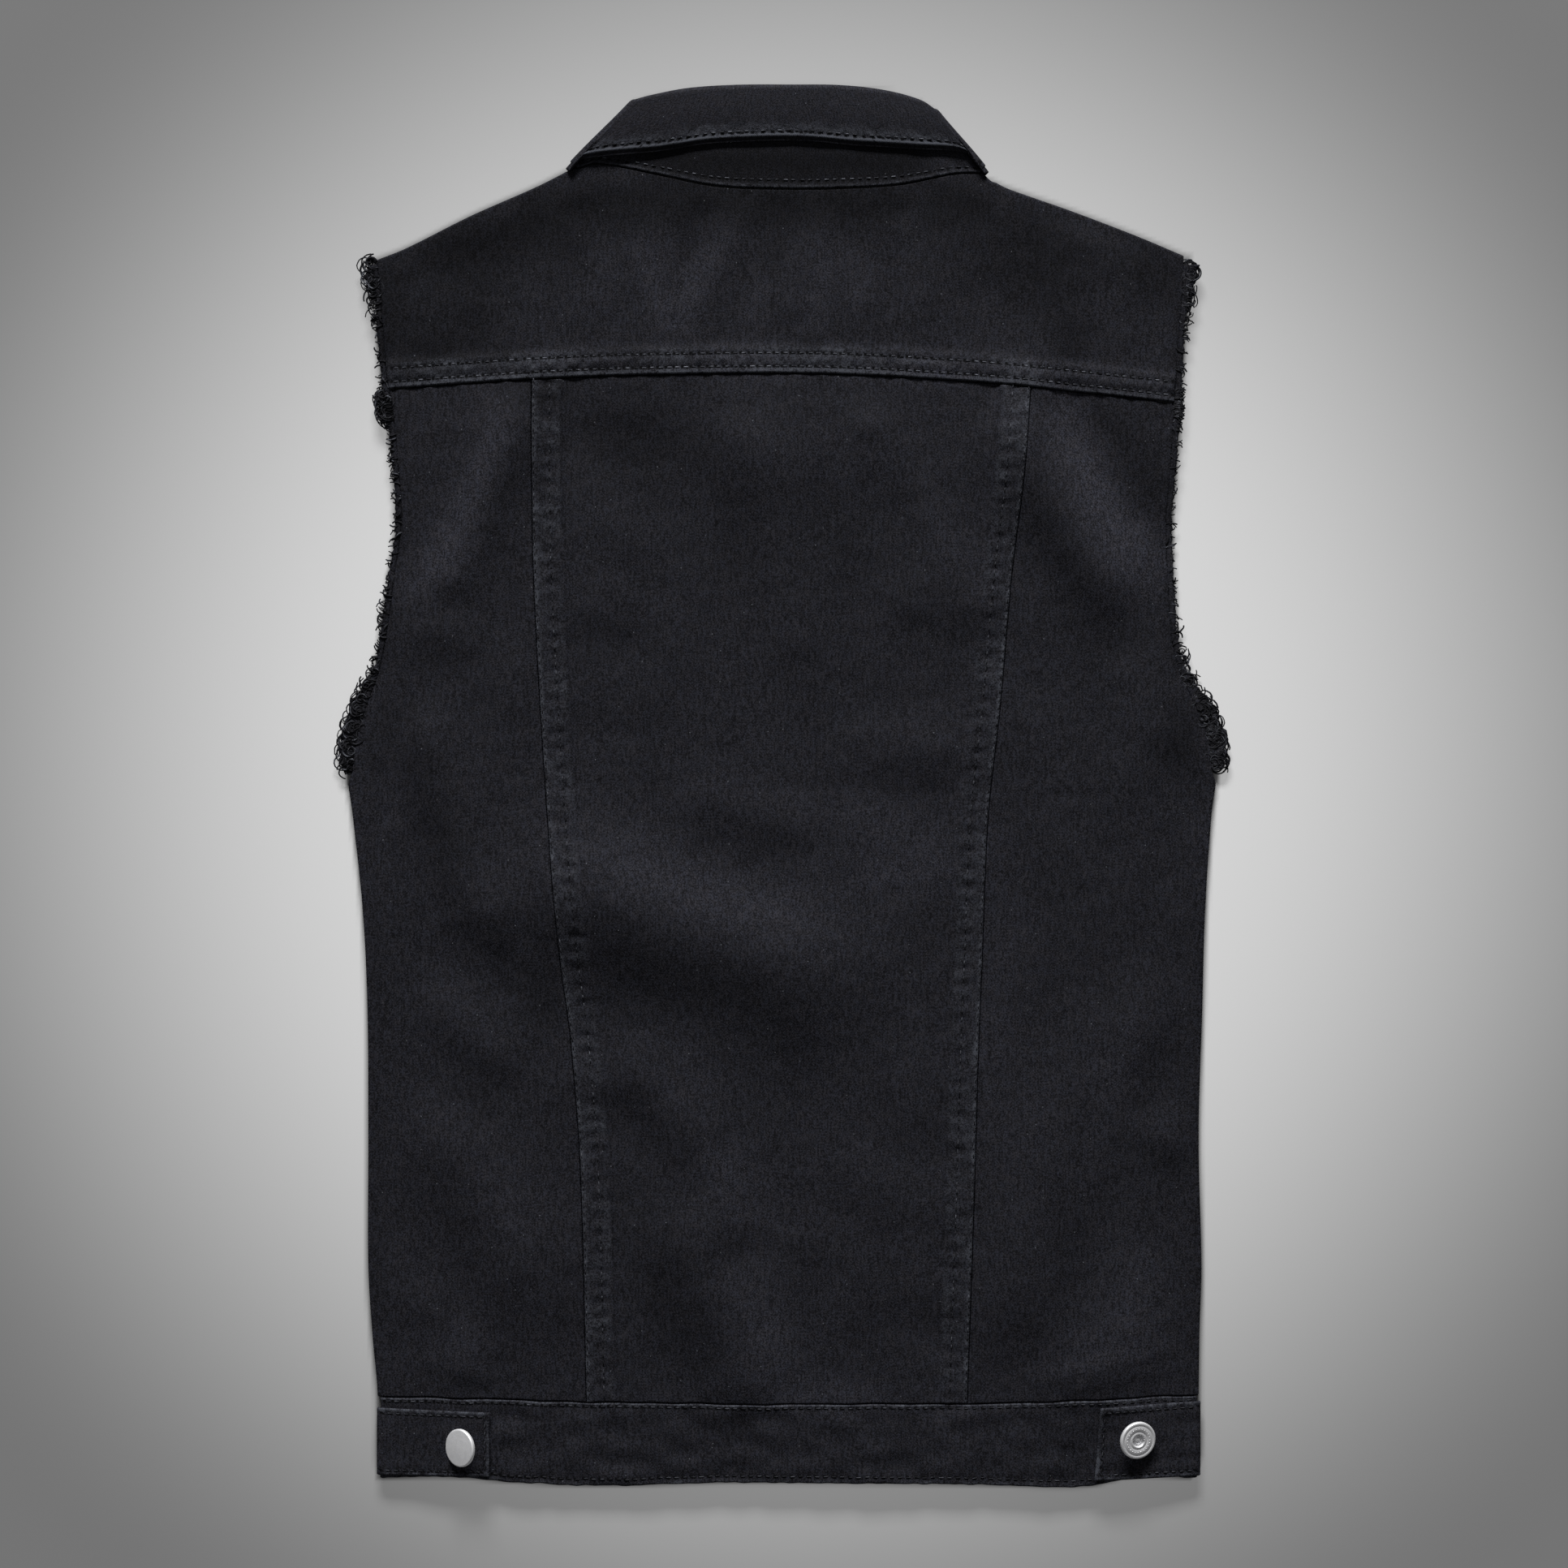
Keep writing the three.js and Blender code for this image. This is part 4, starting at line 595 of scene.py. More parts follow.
def sewing(name, rows, pale, seed):
    """Rows of lockstitches along lines of points on the cloth."""
    chance = np.random.default_rng(seed)
    middles, headings = [], []
    for row in rows:
        walked = np.concatenate([[0], np.cumsum(np.linalg.norm(np.diff(row, axis=0), axis=1))])
        at = np.arange(STITCH_PITCH / 2, walked[-1], STITCH_PITCH)
        at = at + chance.uniform(-0.2, 0.2, len(at))
        spot, ahead, behind = [
            np.stack([np.interp(at + shift, walked, row[:, k]) for k in range(3)], 1)
            for shift in (0, AIM, -AIM)
        ]
        middles.append(spot)
        headings.append((ahead - behind) / np.linalg.norm(ahead - behind, axis=1, keepdims=True))
    middle, heading = np.concatenate(middles), np.concatenate(headings)
    long = STITCH_LONG * chance.uniform(0.9, 1.08, len(middle))
    lines = middle[:, None] + heading[:, None] * (STITCH["along"][None, :, None] * long[:, None, None])
    lines[:, :, 2] += STITCH["up"]
    radius = np.broadcast_to(THREAD_RADIUS * STITCH["radius"], lines.shape[:2])
    points, faces = tubes(lines, radius, STITCH_SIDES)
    each = len(STITCH["along"]) * STITCH_SIDES
    paleness = np.repeat(pale * chance.uniform(0.3, 1.3, len(middle)), each)
    piece = build(name, points, faces, thread, cloth=points, wear=paleness)
    return piece


def rib_rise(apart):
    """Height of the doubled band at a distance in from its felled edge."""
    return RIB_RISE * smooth((RIB_WIDE + STEP_DOWN - apart) / STEP_DOWN)


def puckers(apart, y, side):
    """1 in the middle of a pucker, which the inner row of stitches pulls in."""
    wander = 1.6 * ripples(y, 0 * y, 60, 31 + side)
    beat = 0.5 + 0.5 * np.cos((y + wander) * 2 * math.pi / PUCKER)
    uneven = np.clip(0.85 + 0.4 * ripples(y, 0 * y, 23, 33 + side), 0.2, 1.5)
    return beat**3 * uneven * near_line(apart - RIB_ROWS[1] + 0.6, 3.8)


def rib_dents(apart, y, side):
    """Puckers of the doubled band and the grooves of its stitches."""
    groove = GROOVE * near_line(apart - RIB_ROWS[0], 0.7)
    swell = 0.2 * near_line(apart - 14.5, 2.5) * (1 + 0.8 * ripples(y, 0 * y, 9, 35 + side))
    swell = swell + 0.14 * near_line(apart - 4.8, 2.5) * (1 + ripples(y, 0 * y, 7, 37 + side))
    beside = TROUGH * near_line(apart - 23, 5) * (0.4 + 0.6 * smooth((y + 60) / 160))
    return swell - DENT * puckers(apart, y, side) - groove - beside


def centre_relief(x, y):
    """Height of the panel's top above the plain back layer."""
    left, right = x - panel_seam(y, -1), panel_seam(y, 1) - x
    bands = rib_rise(left) + rib_rise(right)
    return bands + rib_dents(left, y, -1) + rib_dents(right, y, 1) + panel_gathers(x, y)


rib_offsets = np.concatenate([(0, 0.4, 0.9, 1.6), np.linspace(2.6, 14.8, 12), (15.7, 16.6, 18, 20)])
centre_share = np.linspace(0, 1, 80)[1:-1]
centre_rows = shares(CENTRE_LONG, 1.8)
columns = len(rib_offsets) * 2 + len(centre_share)


def centre_across(y):
    """The panel's columns at each height."""
    left = panel_seam(y, -1) + CURVED_GAP / 2
    right = panel_seam(y, 1) - CURVED_GAP / 2
    ribs = rib_offsets[:, None]
    middle = lerp(left + ribs[-1], right - ribs[-1], centre_share[:, None])
    return np.concatenate([left + ribs, middle, (right - ribs)[::-1]])


foot = band_top_edge(centre_across(np.array([PANEL_FOOT]))) + CURVED_GAP
head = yoke_seam(centre_across(np.array([PANEL_HEAD]))) - CURVED_GAP
y = lerp(foot, head, centre_rows)
x = np.stack([centre_across(y[k])[k] for k in range(columns)])
relief_up = centre_relief(x, y)
grid = np.dstack([x, y, back_top(x, y) - CLOTH / 2])
from_edge = np.minimum(x - panel_seam(y, -1), panel_seam(y, 1) - x)
dented = puckers(x - panel_seam(y, -1), y, -1) + puckers(panel_seam(y, 1) - x, y, 1)
band_wear = 0.22 * smooth((17 - from_edge) / 3) * (1 + 0.5 * ripples(x, y, 26, 23)) * (1 - dented)
band_wear += 0.22 * near_line(from_edge - 1.2, 1.2) * (1 + ripples(0 * y, y, 7, 24))
centre_back = wall("back_centre_cloth", grid, CLOTH / 2 + relief_up, CLOTH / 2, band_wear)
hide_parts("back_centre")


def on_back(x, y, relief):
    """Points on the top of the back layer."""
    return np.stack([x, y, back_top(x, y) + relief(x, y)], -1)


seam_y = np.linspace(PANEL_FOOT, PANEL_HEAD, 270)
rib_lines = [
    on_back(panel_seam(seam_y, side) - side * row, seam_y, centre_relief)
    for side in (-1, 1)
    for row in RIB_ROWS
]
sewing("stitching_centre", rib_lines, 0.4, 2)

# Side backs
# Two panels of the same denim from the centre seams to the side folds, where they turn under to
# meet the fronts. Above the underarm their edge is the raw, frayed armhole.
SEAM_GAP = 0.3
CLOSE_GAP = 0.6  # between the middle layers of two turned edges that meet
UNDERARM = 6
STRIP = 2  # width of the frayed strip parted from the raw edge
RAW_INSET = STRIP + 3 * SEAM_GAP
SIDE_LONG, SIDE_WIDE = 540, 92
SIDES = ((-1, "left"), (1, "right"))
TURN = np.linspace(0.17, 1, 6)  # stations round a turned edge


def turn_radius(top, thick):
    return (top - thick - CLOSE_GAP) / 2


def turn_start(radius, thick, turn):
    return lerp(radius * math.pi / 2, radius + thick / 2, turn)


def quarter(radius, turn, share):
    """How far a turning edge goes outwards and down at a share of its turn."""
    bend = np.maximum(1e-4, turn) / radius
    walked = share * radius * math.pi / 2
    return np.sin(bend * walked) / bend, (1 - np.cos(bend * walked)) / bend


def side_turn(y):
    return smooth((UNDERARM + 2 - y) / 8)


side_rows = shares(SIDE_LONG, 2.1)
side_share = shares(SIDE_WIDE, 2.4)
for side, name in SIDES:
    radius = turn_radius(EDGE_TOP, CLOTH)

    def side_across(share, y):
        turn = side_turn(y)
        raw = side * RAW_INSET * (1 - turn)
        start = edge_at(y, side) - raw - side * turn_start(radius, CLOTH, turn)
        return lerp(panel_seam(y, side) + side * SEAM_GAP / 2, start, share)

    share = np.concatenate([side_share, np.ones(len(TURN))])[:, None]
    bent = np.concatenate([np.zeros(len(side_share)), TURN])[:, None]
    foot = band_top_edge(side_across(share, -325.0)) + CURVED_GAP
    head = yoke_seam(side_across(share, 208.0)) - CURVED_GAP
    y = lerp(foot, head, side_rows)
    x = side_across(share, y)
    from_seam = side * (x - panel_seam(y, side))
    relief_up = panel_gathers(x, y) - 0.2 * near_line(from_seam, 2.5)
    over, down = quarter(radius, side_turn(y), bent)
    grid = np.dstack([x + side * over, y, back_top(x, y) - CLOTH / 2 - down])
    out = CLOTH / 2 + relief_up * (bent == 0)
    if side < 0:
        grid, out = grid[::-1], out[::-1]
    panel = wall(f"back_side_{name}_cloth", grid, out, CLOTH / 2)
    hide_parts(f"back_side_{name}")

# Yoke
# One piece across both shoulders. Its foot is felled over the three back panels with two rows
# of stitches, and its raw ends are frayed at the armholes.
FELL_RISE = 0.9  # how far the felled seam stands above the panels under it
FELL_WIDE = 14
YOKE_ROWS = (3.6, 10.7)  # stitches above the yoke's foot
SHOULDER_TIP = 279
SIDE_SEAM_LUMP = 0.7  # how far the panels' seams lift the yoke where they run in under it
YOKE_LEFT, YOKE_RIGHT = 219, 214.5  # half widths
BETWEEN_ROWS = 7.1  # above the yoke's foot, where the cloth swells between the stitches
LADDER = 4.4  # pitch of the small ridges there
WORN_SPOTS = table("x wide", (-127, 22), (-60, 10), (125, 13), (20, 40), (-180, 20))
COLLAR_BACK = table(
    "u foldX foldY leafX leafY neckX neckY",
    (-1, -80, 361.5, -111, 328.5, -109.5, 327), (-0.84, -71, 364, -104, 334, -98, 329.5),
    (-0.6, -52, 367.3, -66, 338, -66, 323.5), (-0.3, -28, 368.9, -38, 342, -36, 317.5),
    (0, 2, 369, 5, 343.5, 0, 316), (0.3, 30, 368.8, 38, 341, 34, 316.5),
    (0.6, 54, 366.2, 70, 339, 62, 318.5), (0.84, 72, 361.5, 95, 336.5, 90, 324),
    (1, 80, 356.5, 104, 326.5, 103, 324.5),
)


def neck_seam(x):
    return curve(COLLAR_BACK, "neckX", "neckY", x)


def yoke_relief(x, y):
    """Height of the yoke's top above the plain back layer."""
    up = y - yoke_seam(x)
    fell = FELL_RISE * smooth((FELL_WIDE + STEP_DOWN + 1 - up) / (2.5 * STEP_DOWN))
    groove = sum(GROOVE * near_line(up - row, 0.8) for row in YOKE_ROWS)
    middle = up - BETWEEN_ROWS
    swell = (0.35 + 0.45 * ripples(x, 0.5 * y, 6, 41)) * near_line(middle, 2.2)
    ladder = np.sin(x * 2 * math.pi / LADDER + 1.5 * ripples(x, 0 * x, 21, 46)) * near_line(middle, 2.9)
    swell = swell + (0.2 + 0.12 * ripples(x, 0 * x, 33, 45)) * ladder
    lip = (0.12 + 0.12 * ripples(x, 0 * x, 12, 42)) * near_line(up - 1, 1.4)
    lumps = sum(
        SIDE_SEAM_LUMP * near_line(x - panel_seam(216.0, side) + side * 7, 8) * near_line(up - 4, 6)
        for side in (-1, 1)
    )
    return fell - groove + swell + lip + lumps + gathers(up - 15, x, 43) * smooth((up - 11) / 13)


tip_left, tip_right = -edge_at(SHOULDER_TIP, -1), edge_at(SHOULDER_TIP, 1)
yoke_share = np.concatenate([-shares(YOKE_LEFT, 1.25)[:0:-1], shares(YOKE_RIGHT, 1.25)])[:, None]
tip = np.where(yoke_share < 0, tip_left, tip_right)


def yoke_across(y):
    return yoke_share * (np.abs(edge_at(y, yoke_share)) - RAW_INSET)


radius = turn_radius(EDGE_TOP, CLOTH)
turn = shoulder_turn(yoke_share * tip)
across = yoke_across(SHOULDER_TIP)
top_line = lerp(neck_seam(across) - 1.7 * SEAM_GAP, shoulder_line(across), smooth(turn))
last = top_line - turn_start(radius, CLOTH, turn)
seam = yoke_seam(yoke_across(YOKE_SEAM["y"][0]))
fell_rows = np.concatenate([(0, 0.4, 0.9, 1.6), np.linspace(2.5, FELL_WIDE, 13), (15, 16.5)])
plain_rows = np.linspace(0, 1, 42)[1:]
y = np.concatenate([seam + fell_rows, lerp(seam + fell_rows[-1], last, plain_rows)], axis=1)
x = yoke_across(y)
z = back_top(x, y) - CLOTH / 2
out = CLOTH / 2 + yoke_relief(x, y)
over, down = quarter(radius, turn, TURN)
turned = np.broadcast_to(yoke_across(last), over.shape)
x = np.concatenate([x, turned], 1)
y = np.concatenate([y, last + over], 1)
z = np.concatenate([z, z[:, -1:] - down], 1)
out = np.concatenate([out, np.repeat(out[:, -1:], len(TURN), 1)], 1)
up = y - yoke_seam(x)
worn_spots = sum(near_line(x - at, wide) for at, wide in zip(*WORN_SPOTS.values()))
rubbed_foot = (0.16 + 0.2 * worn_spots) * smooth((16 - up) / 4) * (1 + 0.25 * ripples(x, y, 7, 47))
rubbed_foot += 0.3 * near_line(up - 1, 1.2)
shoulder_wear = 0.4 * near_line(top_line + 1 - y, 1.2) * turn
yoke = wall(
    "back_yoke_cloth", np.dstack([x, y, z]), out, CLOTH / 2, rubbed_foot + shoulder_wear,
    stitched=(x + 208, up - YOKE_ROWS[0], up - YOKE_ROWS[1]),
)
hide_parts("back_yoke")
seam_x = np.linspace(-208, 205, 200)
rows = [on_back(seam_x, yoke_seam(seam_x) + row, yoke_relief) for row in YOKE_ROWS]
sewing("stitching_yoke", rows, 1.0, 3)

# Waistband
# Two plies of denim, topstitched along both edges and sewn over the hem of the panels. The back
# piece turns under at each side fold to meet the front pieces.
BAND = 1.8
BAND_RISE = 0.9  # how far the band stands above the panels
TAB_SPARE = 1.5  # how far the tabs reach past the band's side folds
BAND_WAIST = -358  # below this height the band keeps the height that it has there
BAND_ROWS = (1.8, -3.5)  # stitches below its top edge and above its foot
BAND_TALL = 43
BAND_FOOT = table(
    "x y",
    (-216, -367.5), (-179, -366.5), (-140, -369.5), (-97, -371), (-28, -369.5), (100, -370.5),
    (160, -371.5), (187, -366), (220, -367.5),
)
band_radius = turn_radius(EDGE_TOP + BAND_RISE, BAND)


def band_start(side):
    return np.abs(edge_at(-340.0, side)) - TAB_SPARE - band_radius - BAND / 2


def band_foot(x):
    """The hem, a little uneven where it is sewn."""
    return curve(BAND_FOOT, "x", "y", x) + 0.3 * ripples(x, 0 * x, 11, 55)


def band_row(x, share):
    return lerp(band_foot(x), band_top_edge(x), share)


def band_top(x, y):
    return back_top(x, np.maximum(y, BAND_WAIST)) + BAND_RISE


def band_relief(x, y):
    """Soft waves of the doubled band and the grooves of its stitches."""
    below, above = band_top_edge(x) - y, y - band_foot(x)
    groove = 0.2 * near_line(below - BAND_ROWS[0], 0.8) + 0.2 * near_line(above + BAND_ROWS[1], 0.8)
    wave = 0.35 * ripples(x, 1.5 * y, 24, 51) + 0.2 * ripples(x, 0.4 * y, 9, 52) * near_line(above, 9)
    dragged = 0.3 * ripples(0.35 * x, 1.3 * y, 15, 57)
    return wave + dragged - groove + 0.2 * ripples(x, 0.3 * y, 7, 53) * near_line(below, 5)


across_band = np.concatenate([-np.linspace(1, 0, 90)[:-1], np.linspace(0, 1, 90)])[:, None]
start = np.where(across_band < 0, band_start(-1), band_start(1))
x = across_band * start
y = band_row(x, shares(BAND_TALL, 1.9))
grid = np.dstack([np.broadcast_to(x, y.shape), y, band_top(x, y) - BAND / 2])
ends = []
for side, line in ((-1, grid[0]), (1, grid[-1])):
    over, down = quarter(band_radius, 1, TURN[:, None])
    moved = np.dstack([side * over, 0 * over, -down])
    ends.append(line[None] + moved)
full = np.concatenate([ends[0][::-1], grid, ends[1]])
out = BAND / 2 + band_relief(full[..., 0], full[..., 1])
below = band_top_edge(full[..., 0]) - full[..., 1]
above = full[..., 1] - band_foot(full[..., 0])
ragged = 0.8 + 0.5 * ripples(full[..., 0], 0 * below, 9, 54)
band_wear = 0.04 + ragged * (0.42 * near_line(below - 0.5, 1.3) + 0.35 * near_line(above - 0.5, 1.3))
waistband = wall(
    "waistband_back_cloth", full, out, BAND / 2, band_wear,
    stitched=(full[..., 0] + 212, below - BAND_ROWS[0], above + BAND_ROWS[1]),
)
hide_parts("waistband_back")


def on_band(x, y):
    return np.stack([x, y, band_top(x, y) + band_relief(x, y)], -1)


band_x = np.linspace(-212, 216, 200)
rows = [
    on_band(band_x, band_top_edge(band_x) - BAND_ROWS[0]),
    on_band(band_x, band_foot(band_x) - BAND_ROWS[1]),
]
sewing("stitching_waistband", rows, 0.35, 4)

# Waist tabs
# Two short straps of doubled denim, sewn in at the side seams and laid on the band, each held
# near its inner end by a tack button. They are edge-stitched on three sides.
TAB = 1.8
LAID_GAP = 0.45
TAB_LIFT = (BAND + TAB) / 2 + LAID_GAP
TAB_INSET = 2.6  # stitches in from the edges
TAB_LONG, TAB_WIDE = 58, 35
TABS = table(
    "end endFoot top foot outerTop outerFoot",
    (-156, -156, -332, -366, -330, -365.5), (167, 164, -329.3, -368, -326.5, -366),
)
for k, (side, name) in enumerate(SIDES):
    tab = {corner: float(values[k]) for corner, values in TABS.items()}
    start = band_start(side)
    inner = abs(tab["end"]) / start

    def tab_place(share, v):
        """A point of the tab's middle layer, share of the way out and v up from its foot."""
        out = (share - inner) / (1 - inner)
        low, high = lerp(tab["foot"], tab["outerFoot"], out), lerp(tab["top"], tab["outerTop"], out)
        slant = (1 - out) ** 6 * (1 - v) * (tab["endFoot"] - tab["end"])
        x = side * share * start + slant
        y = lerp(low, high, v)
        lift = 0.3 * ripples(0.4 * x, 1.2 * y, 13, 61 + side) + 0.5 * (1 - out) ** 4 * (1 - v)
        return np.dstack([x, y, band_top(x, y) - BAND / 2 + TAB_LIFT + lift])

    share = lerp(1, inner, shares(TAB_LONG, 1.7))[:, None]
    v = shares(TAB_WIDE, 1.6)[None]
    flat = tab_place(share, v)
    over, down = quarter(band_radius + TAB_LIFT, 1, np.linspace(0.13, 0.8, 6)[:, None])
    turned = (flat[0][None] + np.dstack([side * over, 0 * over, -down]))[::-1]
    grid = np.concatenate([turned, flat])
    from_end = np.concatenate([np.full((len(turned), 1), FAR), np.abs(share - inner) * start])
    from_rim = np.minimum(from_end, np.minimum(v, 1 - v) * TAB_WIDE)
    groove = 0.2 * near_line(from_rim - TAB_INSET, 0.8)
    uneven = 0.8 + 0.5 * ripples(grid[..., 0], grid[..., 1], 7, 64 + side)
    tab_wear = 0.55 * near_line(from_rim - 0.8, 1.3) * uneven
    out = TAB / 2 - groove
    if side > 0:
        grid, out, tab_wear, from_rim = grid[::-1], out[::-1], tab_wear[::-1], from_rim[::-1]
    row_at = (grid[..., 0] + grid[..., 1], from_rim - TAB_INSET, FAR)
    strap = wall(f"waist_tab_{name}_cloth", grid, out, TAB / 2, tab_wear, stitched=row_at)
    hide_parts(f"waist_tab_{name}")
    inset, long = TAB_INSET / TAB_WIDE, TAB_INSET / start
    runs = [(1, inner + long, inset, inset), (inner + long, inner + long, inset, 1 - inset)]
    runs.append((inner + long, 1, 1 - inset, 1 - inset))
    lines = []
    for from_share, to_share, from_v, to_v in runs:
        step = np.linspace(0, 1, 30)
        spots = tab_place(lerp(from_share, to_share, step), lerp(from_v, to_v, step))[0]
        lines.append(spots + (0, 0, TAB / 2 - 0.15))
    sewing(f"stitching_tab_{name}", lines, 0.3, 5 + side)

# Tab buttons
# Silvered tack buttons riveted through the tabs. The left one has a plain domed cap, and the
# right one a flat cap with rings and pellets round an open well. Both lean as the cloth pulls.
BUTTON = 20
CAP_FACE, CAP_THICK, CAP_DOME, SHANK = 2.4, 2.2, 0.4, 2.6
CAP_EDGE, CAP_HEM = 0.9, 0.55  # radii of the cap's rim above and below
WELL_RADIUS, WELL_FLOOR, WELL_BOSS = 3.4, 1.1, 0.6
BUTTON_SEGMENTS = 96
PELLETS, PELLET_RING, PELLET_RADIUS = 24, 6.4, 0.26
TAB_BUTTONS = {
    "left": {"x": -169, "y": -349.8, "lean": 38, "about": 0},
    "right": {"x": 185.4, "y": -345.2, "lean": 20, "about": -24},
}
SILVER = (0.83, 0.83, 0.845, 1)
TARNISH = (0.5, 0.5, 0.52, 1)
silver = Finish("button_metal")
spot = silver.mark("cloth", "Vector")
cloudy = silver.noise(spot, 0.35, 4.0)
scuffs = silver.noise(silver.stretched(spot, (0.6, 6.0, 1.0)), 1.2, 3.0)
hollow = silver.mark("wear")
# Cloudy patches are tarnish; the wear mark is painted shade in the right button's well.
tarnish_and_shade = (hollow + cloudy.between(0.62, 0.9) * 0.35).between(0.0, 1.0)
silver.surface(
    Base_Color=silver.mixed(tarnish_and_shade, SILVER, TARNISH),
    Roughness=0.3 + scuffs * 0.22, Metallic=0.45 + cloudy * 0.2,
)


def revolve(profile, segments):
    """Points and faces of a solid turned from a profile that starts and ends on the axis."""
    angle = np.arange(segments) * 2 * math.pi / segments
    r, z = np.array(profile[1:-1]).T
    flat = np.stack([np.cos(angle), np.sin(angle)], -1)
    rings = np.dstack([r[:, None, None] * flat, np.repeat(z[:, None], segments, 1)])
    points = np.concatenate([rings.reshape(-1, 3), [(0, 0, profile[0][1]), (0, 0, profile[-1][1])]])
    index = np.arange(len(r) * segments).reshape(len(r), segments)
    near, far = index[:-1], index[1:]
    faces = np.stack([near, np.roll(near, -1, 1), np.roll(far, -1, 1), far], -1)
    faces = faces.reshape(-1, 4).tolist()
    foot, top = len(points) - 2, len(points) - 1
    for k in range(segments):
        after = (k + 1) % segments
        faces.append([foot, int(index[0, after]), int(index[0, k])])
        faces.append([top, int(index[-1, k]), int(index[-1, after])])
    return points, faces


def rounded(centre_r, centre_z, radius, start, stop, count=6):
    """Points of a rounded corner of a profile."""
    angles = np.radians(np.linspace(start, stop, count))
    return [(centre_r + radius * math.cos(a), centre_z + radius * math.sin(a)) for a in angles]


for side, name in SIDES:
    spec = TAB_BUTTONS[name]
    r, top = BUTTON / 2, CAP_FACE + CAP_THICK
    flat = r - CAP_EDGE
    profile = [(0, 0), (SHANK, 0), (SHANK, CAP_FACE - 0.4), (SHANK + 0.5, CAP_FACE), (flat, CAP_FACE)]
    profile += rounded(r - CAP_HEM, CAP_FACE + CAP_HEM, CAP_HEM, -90, 0)
    profile += rounded(flat, top - CAP_EDGE, CAP_EDGE, 0, 90, 8)
    if side < 0:
        inward = np.linspace(0.6, 8.6, 9)
        profile += [(flat - s, top + CAP_DOME * math.sin(s / flat * math.pi / 2)) for s in inward]
        profile += [(0, top + CAP_DOME)]
    else:
        profile += [(8.4, top), (8.2, top - 0.14), (7.9, top - 0.14), (7.7, top), (5.1, top)]
        profile += [(4.9, top - 0.16), (4.6, top - 0.16), (4.4, top), (WELL_RADIUS + 0.25, top)]
        profile += rounded(WELL_RADIUS - 0.15, top - 0.4, 0.4, 90, 0, 5)[1:]
        floor = CAP_FACE + WELL_FLOOR
        profile += [(WELL_RADIUS - 0.3, floor + 0.1), (WELL_RADIUS - 0.6, floor), (1.9, floor)]
        profile += [(1.6, floor + 0.35), (0.9, floor + WELL_BOSS * 0.9), (0, floor + WELL_BOSS)]
    points, faces = revolve(profile, BUTTON_SEGMENTS)
    shade = np.zeros(len(points))
    if side > 0:
        # Painted shade in the right button's well and on its boss.
        shade = 0.3 * smooth((WELL_RADIUS + 0.2 - np.hypot(points[:, 0], points[:, 1])) / 0.5)
        shade *= points[:, 2] > CAP_FACE + WELL_FLOOR - 0.2
        bead = rounded(0, -0.08, PELLET_RADIUS, 0, 90, 4)
        for k in range(PELLETS):
            angle = 2 * math.pi * k / PELLETS
            dot, dot_faces = revolve([(0, -0.2), *bead[:-1], (0, 0.18)], 10)
            dot = dot + (PELLET_RING * math.cos(angle), PELLET_RING * math.sin(angle), top)
            faces += [[v + len(points) for v in face] for face in dot_faces]
            points = np.concatenate([points, dot])
        shade = np.concatenate([shade, np.zeros(len(points) - len(shade))])
    lean, about = math.radians(spec["lean"]) * side, math.radians(spec["about"])
    axis = np.array([-math.sin(about), math.cos(about), 0])
    spun = points * math.cos(lean) + np.cross(axis, points) * math.sin(lean)
    spun += np.outer(points @ axis, axis) * (1 - math.cos(lean))
    seat = float(band_top(spec["x"], spec["y"])) - BAND / 2 + TAB_LIFT + TAB / 2
    seat += SEAM_GAP + SHANK * math.sin(abs(lean))
    spun += (spec["x"], spec["y"], seat)
    button = build(f"button_tab_{name}_metal", spun, faces, silver, cloth=points, wear=shade)
    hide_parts(f"button_tab_{name}")

# Fronts
# Two plain panels that lie under the back and meet it at the shoulders and the side folds. Their
# armholes are cut deeper than the back's, and they close left over right at the button bands.
FRONT_EDGE = table(
    "y left right",
    (6, -232, 229.5), (30, -222, 219), (50, -209, 206), (90, -197, 194), (140, -192, 190),
    (190, -194, 191), (240, -205, 201), (279, -218, 213),
)
COLLAR_FRONT = table(
    "u foldX foldY leafX leafY neckX neckY",
    (0, 80, 361.5, 111, 328.5, 109.5, 327), (0.3, 66, 326, 112, 290, 98, 288),
    (0.6, 42, 288, 98, 240, 70, 259), (0.85, 18, 268, 76, 206, 34, 246), (1, 3, 264, 62, 190, 3, 243),
)
NECK_FOOT = COLLAR_FRONT["neckY"][-1] - 1
NECK_SLACK = 0.9
FRONT_LONG, FRONT_WIDE = 568, 195
front_neck_rows = {name: values[::-1] for name, values in COLLAR_FRONT.items()}


def front_lift(x, y, side):
    return front_foot(x, y) + (overlap_step(x) if side > 0 else 0)


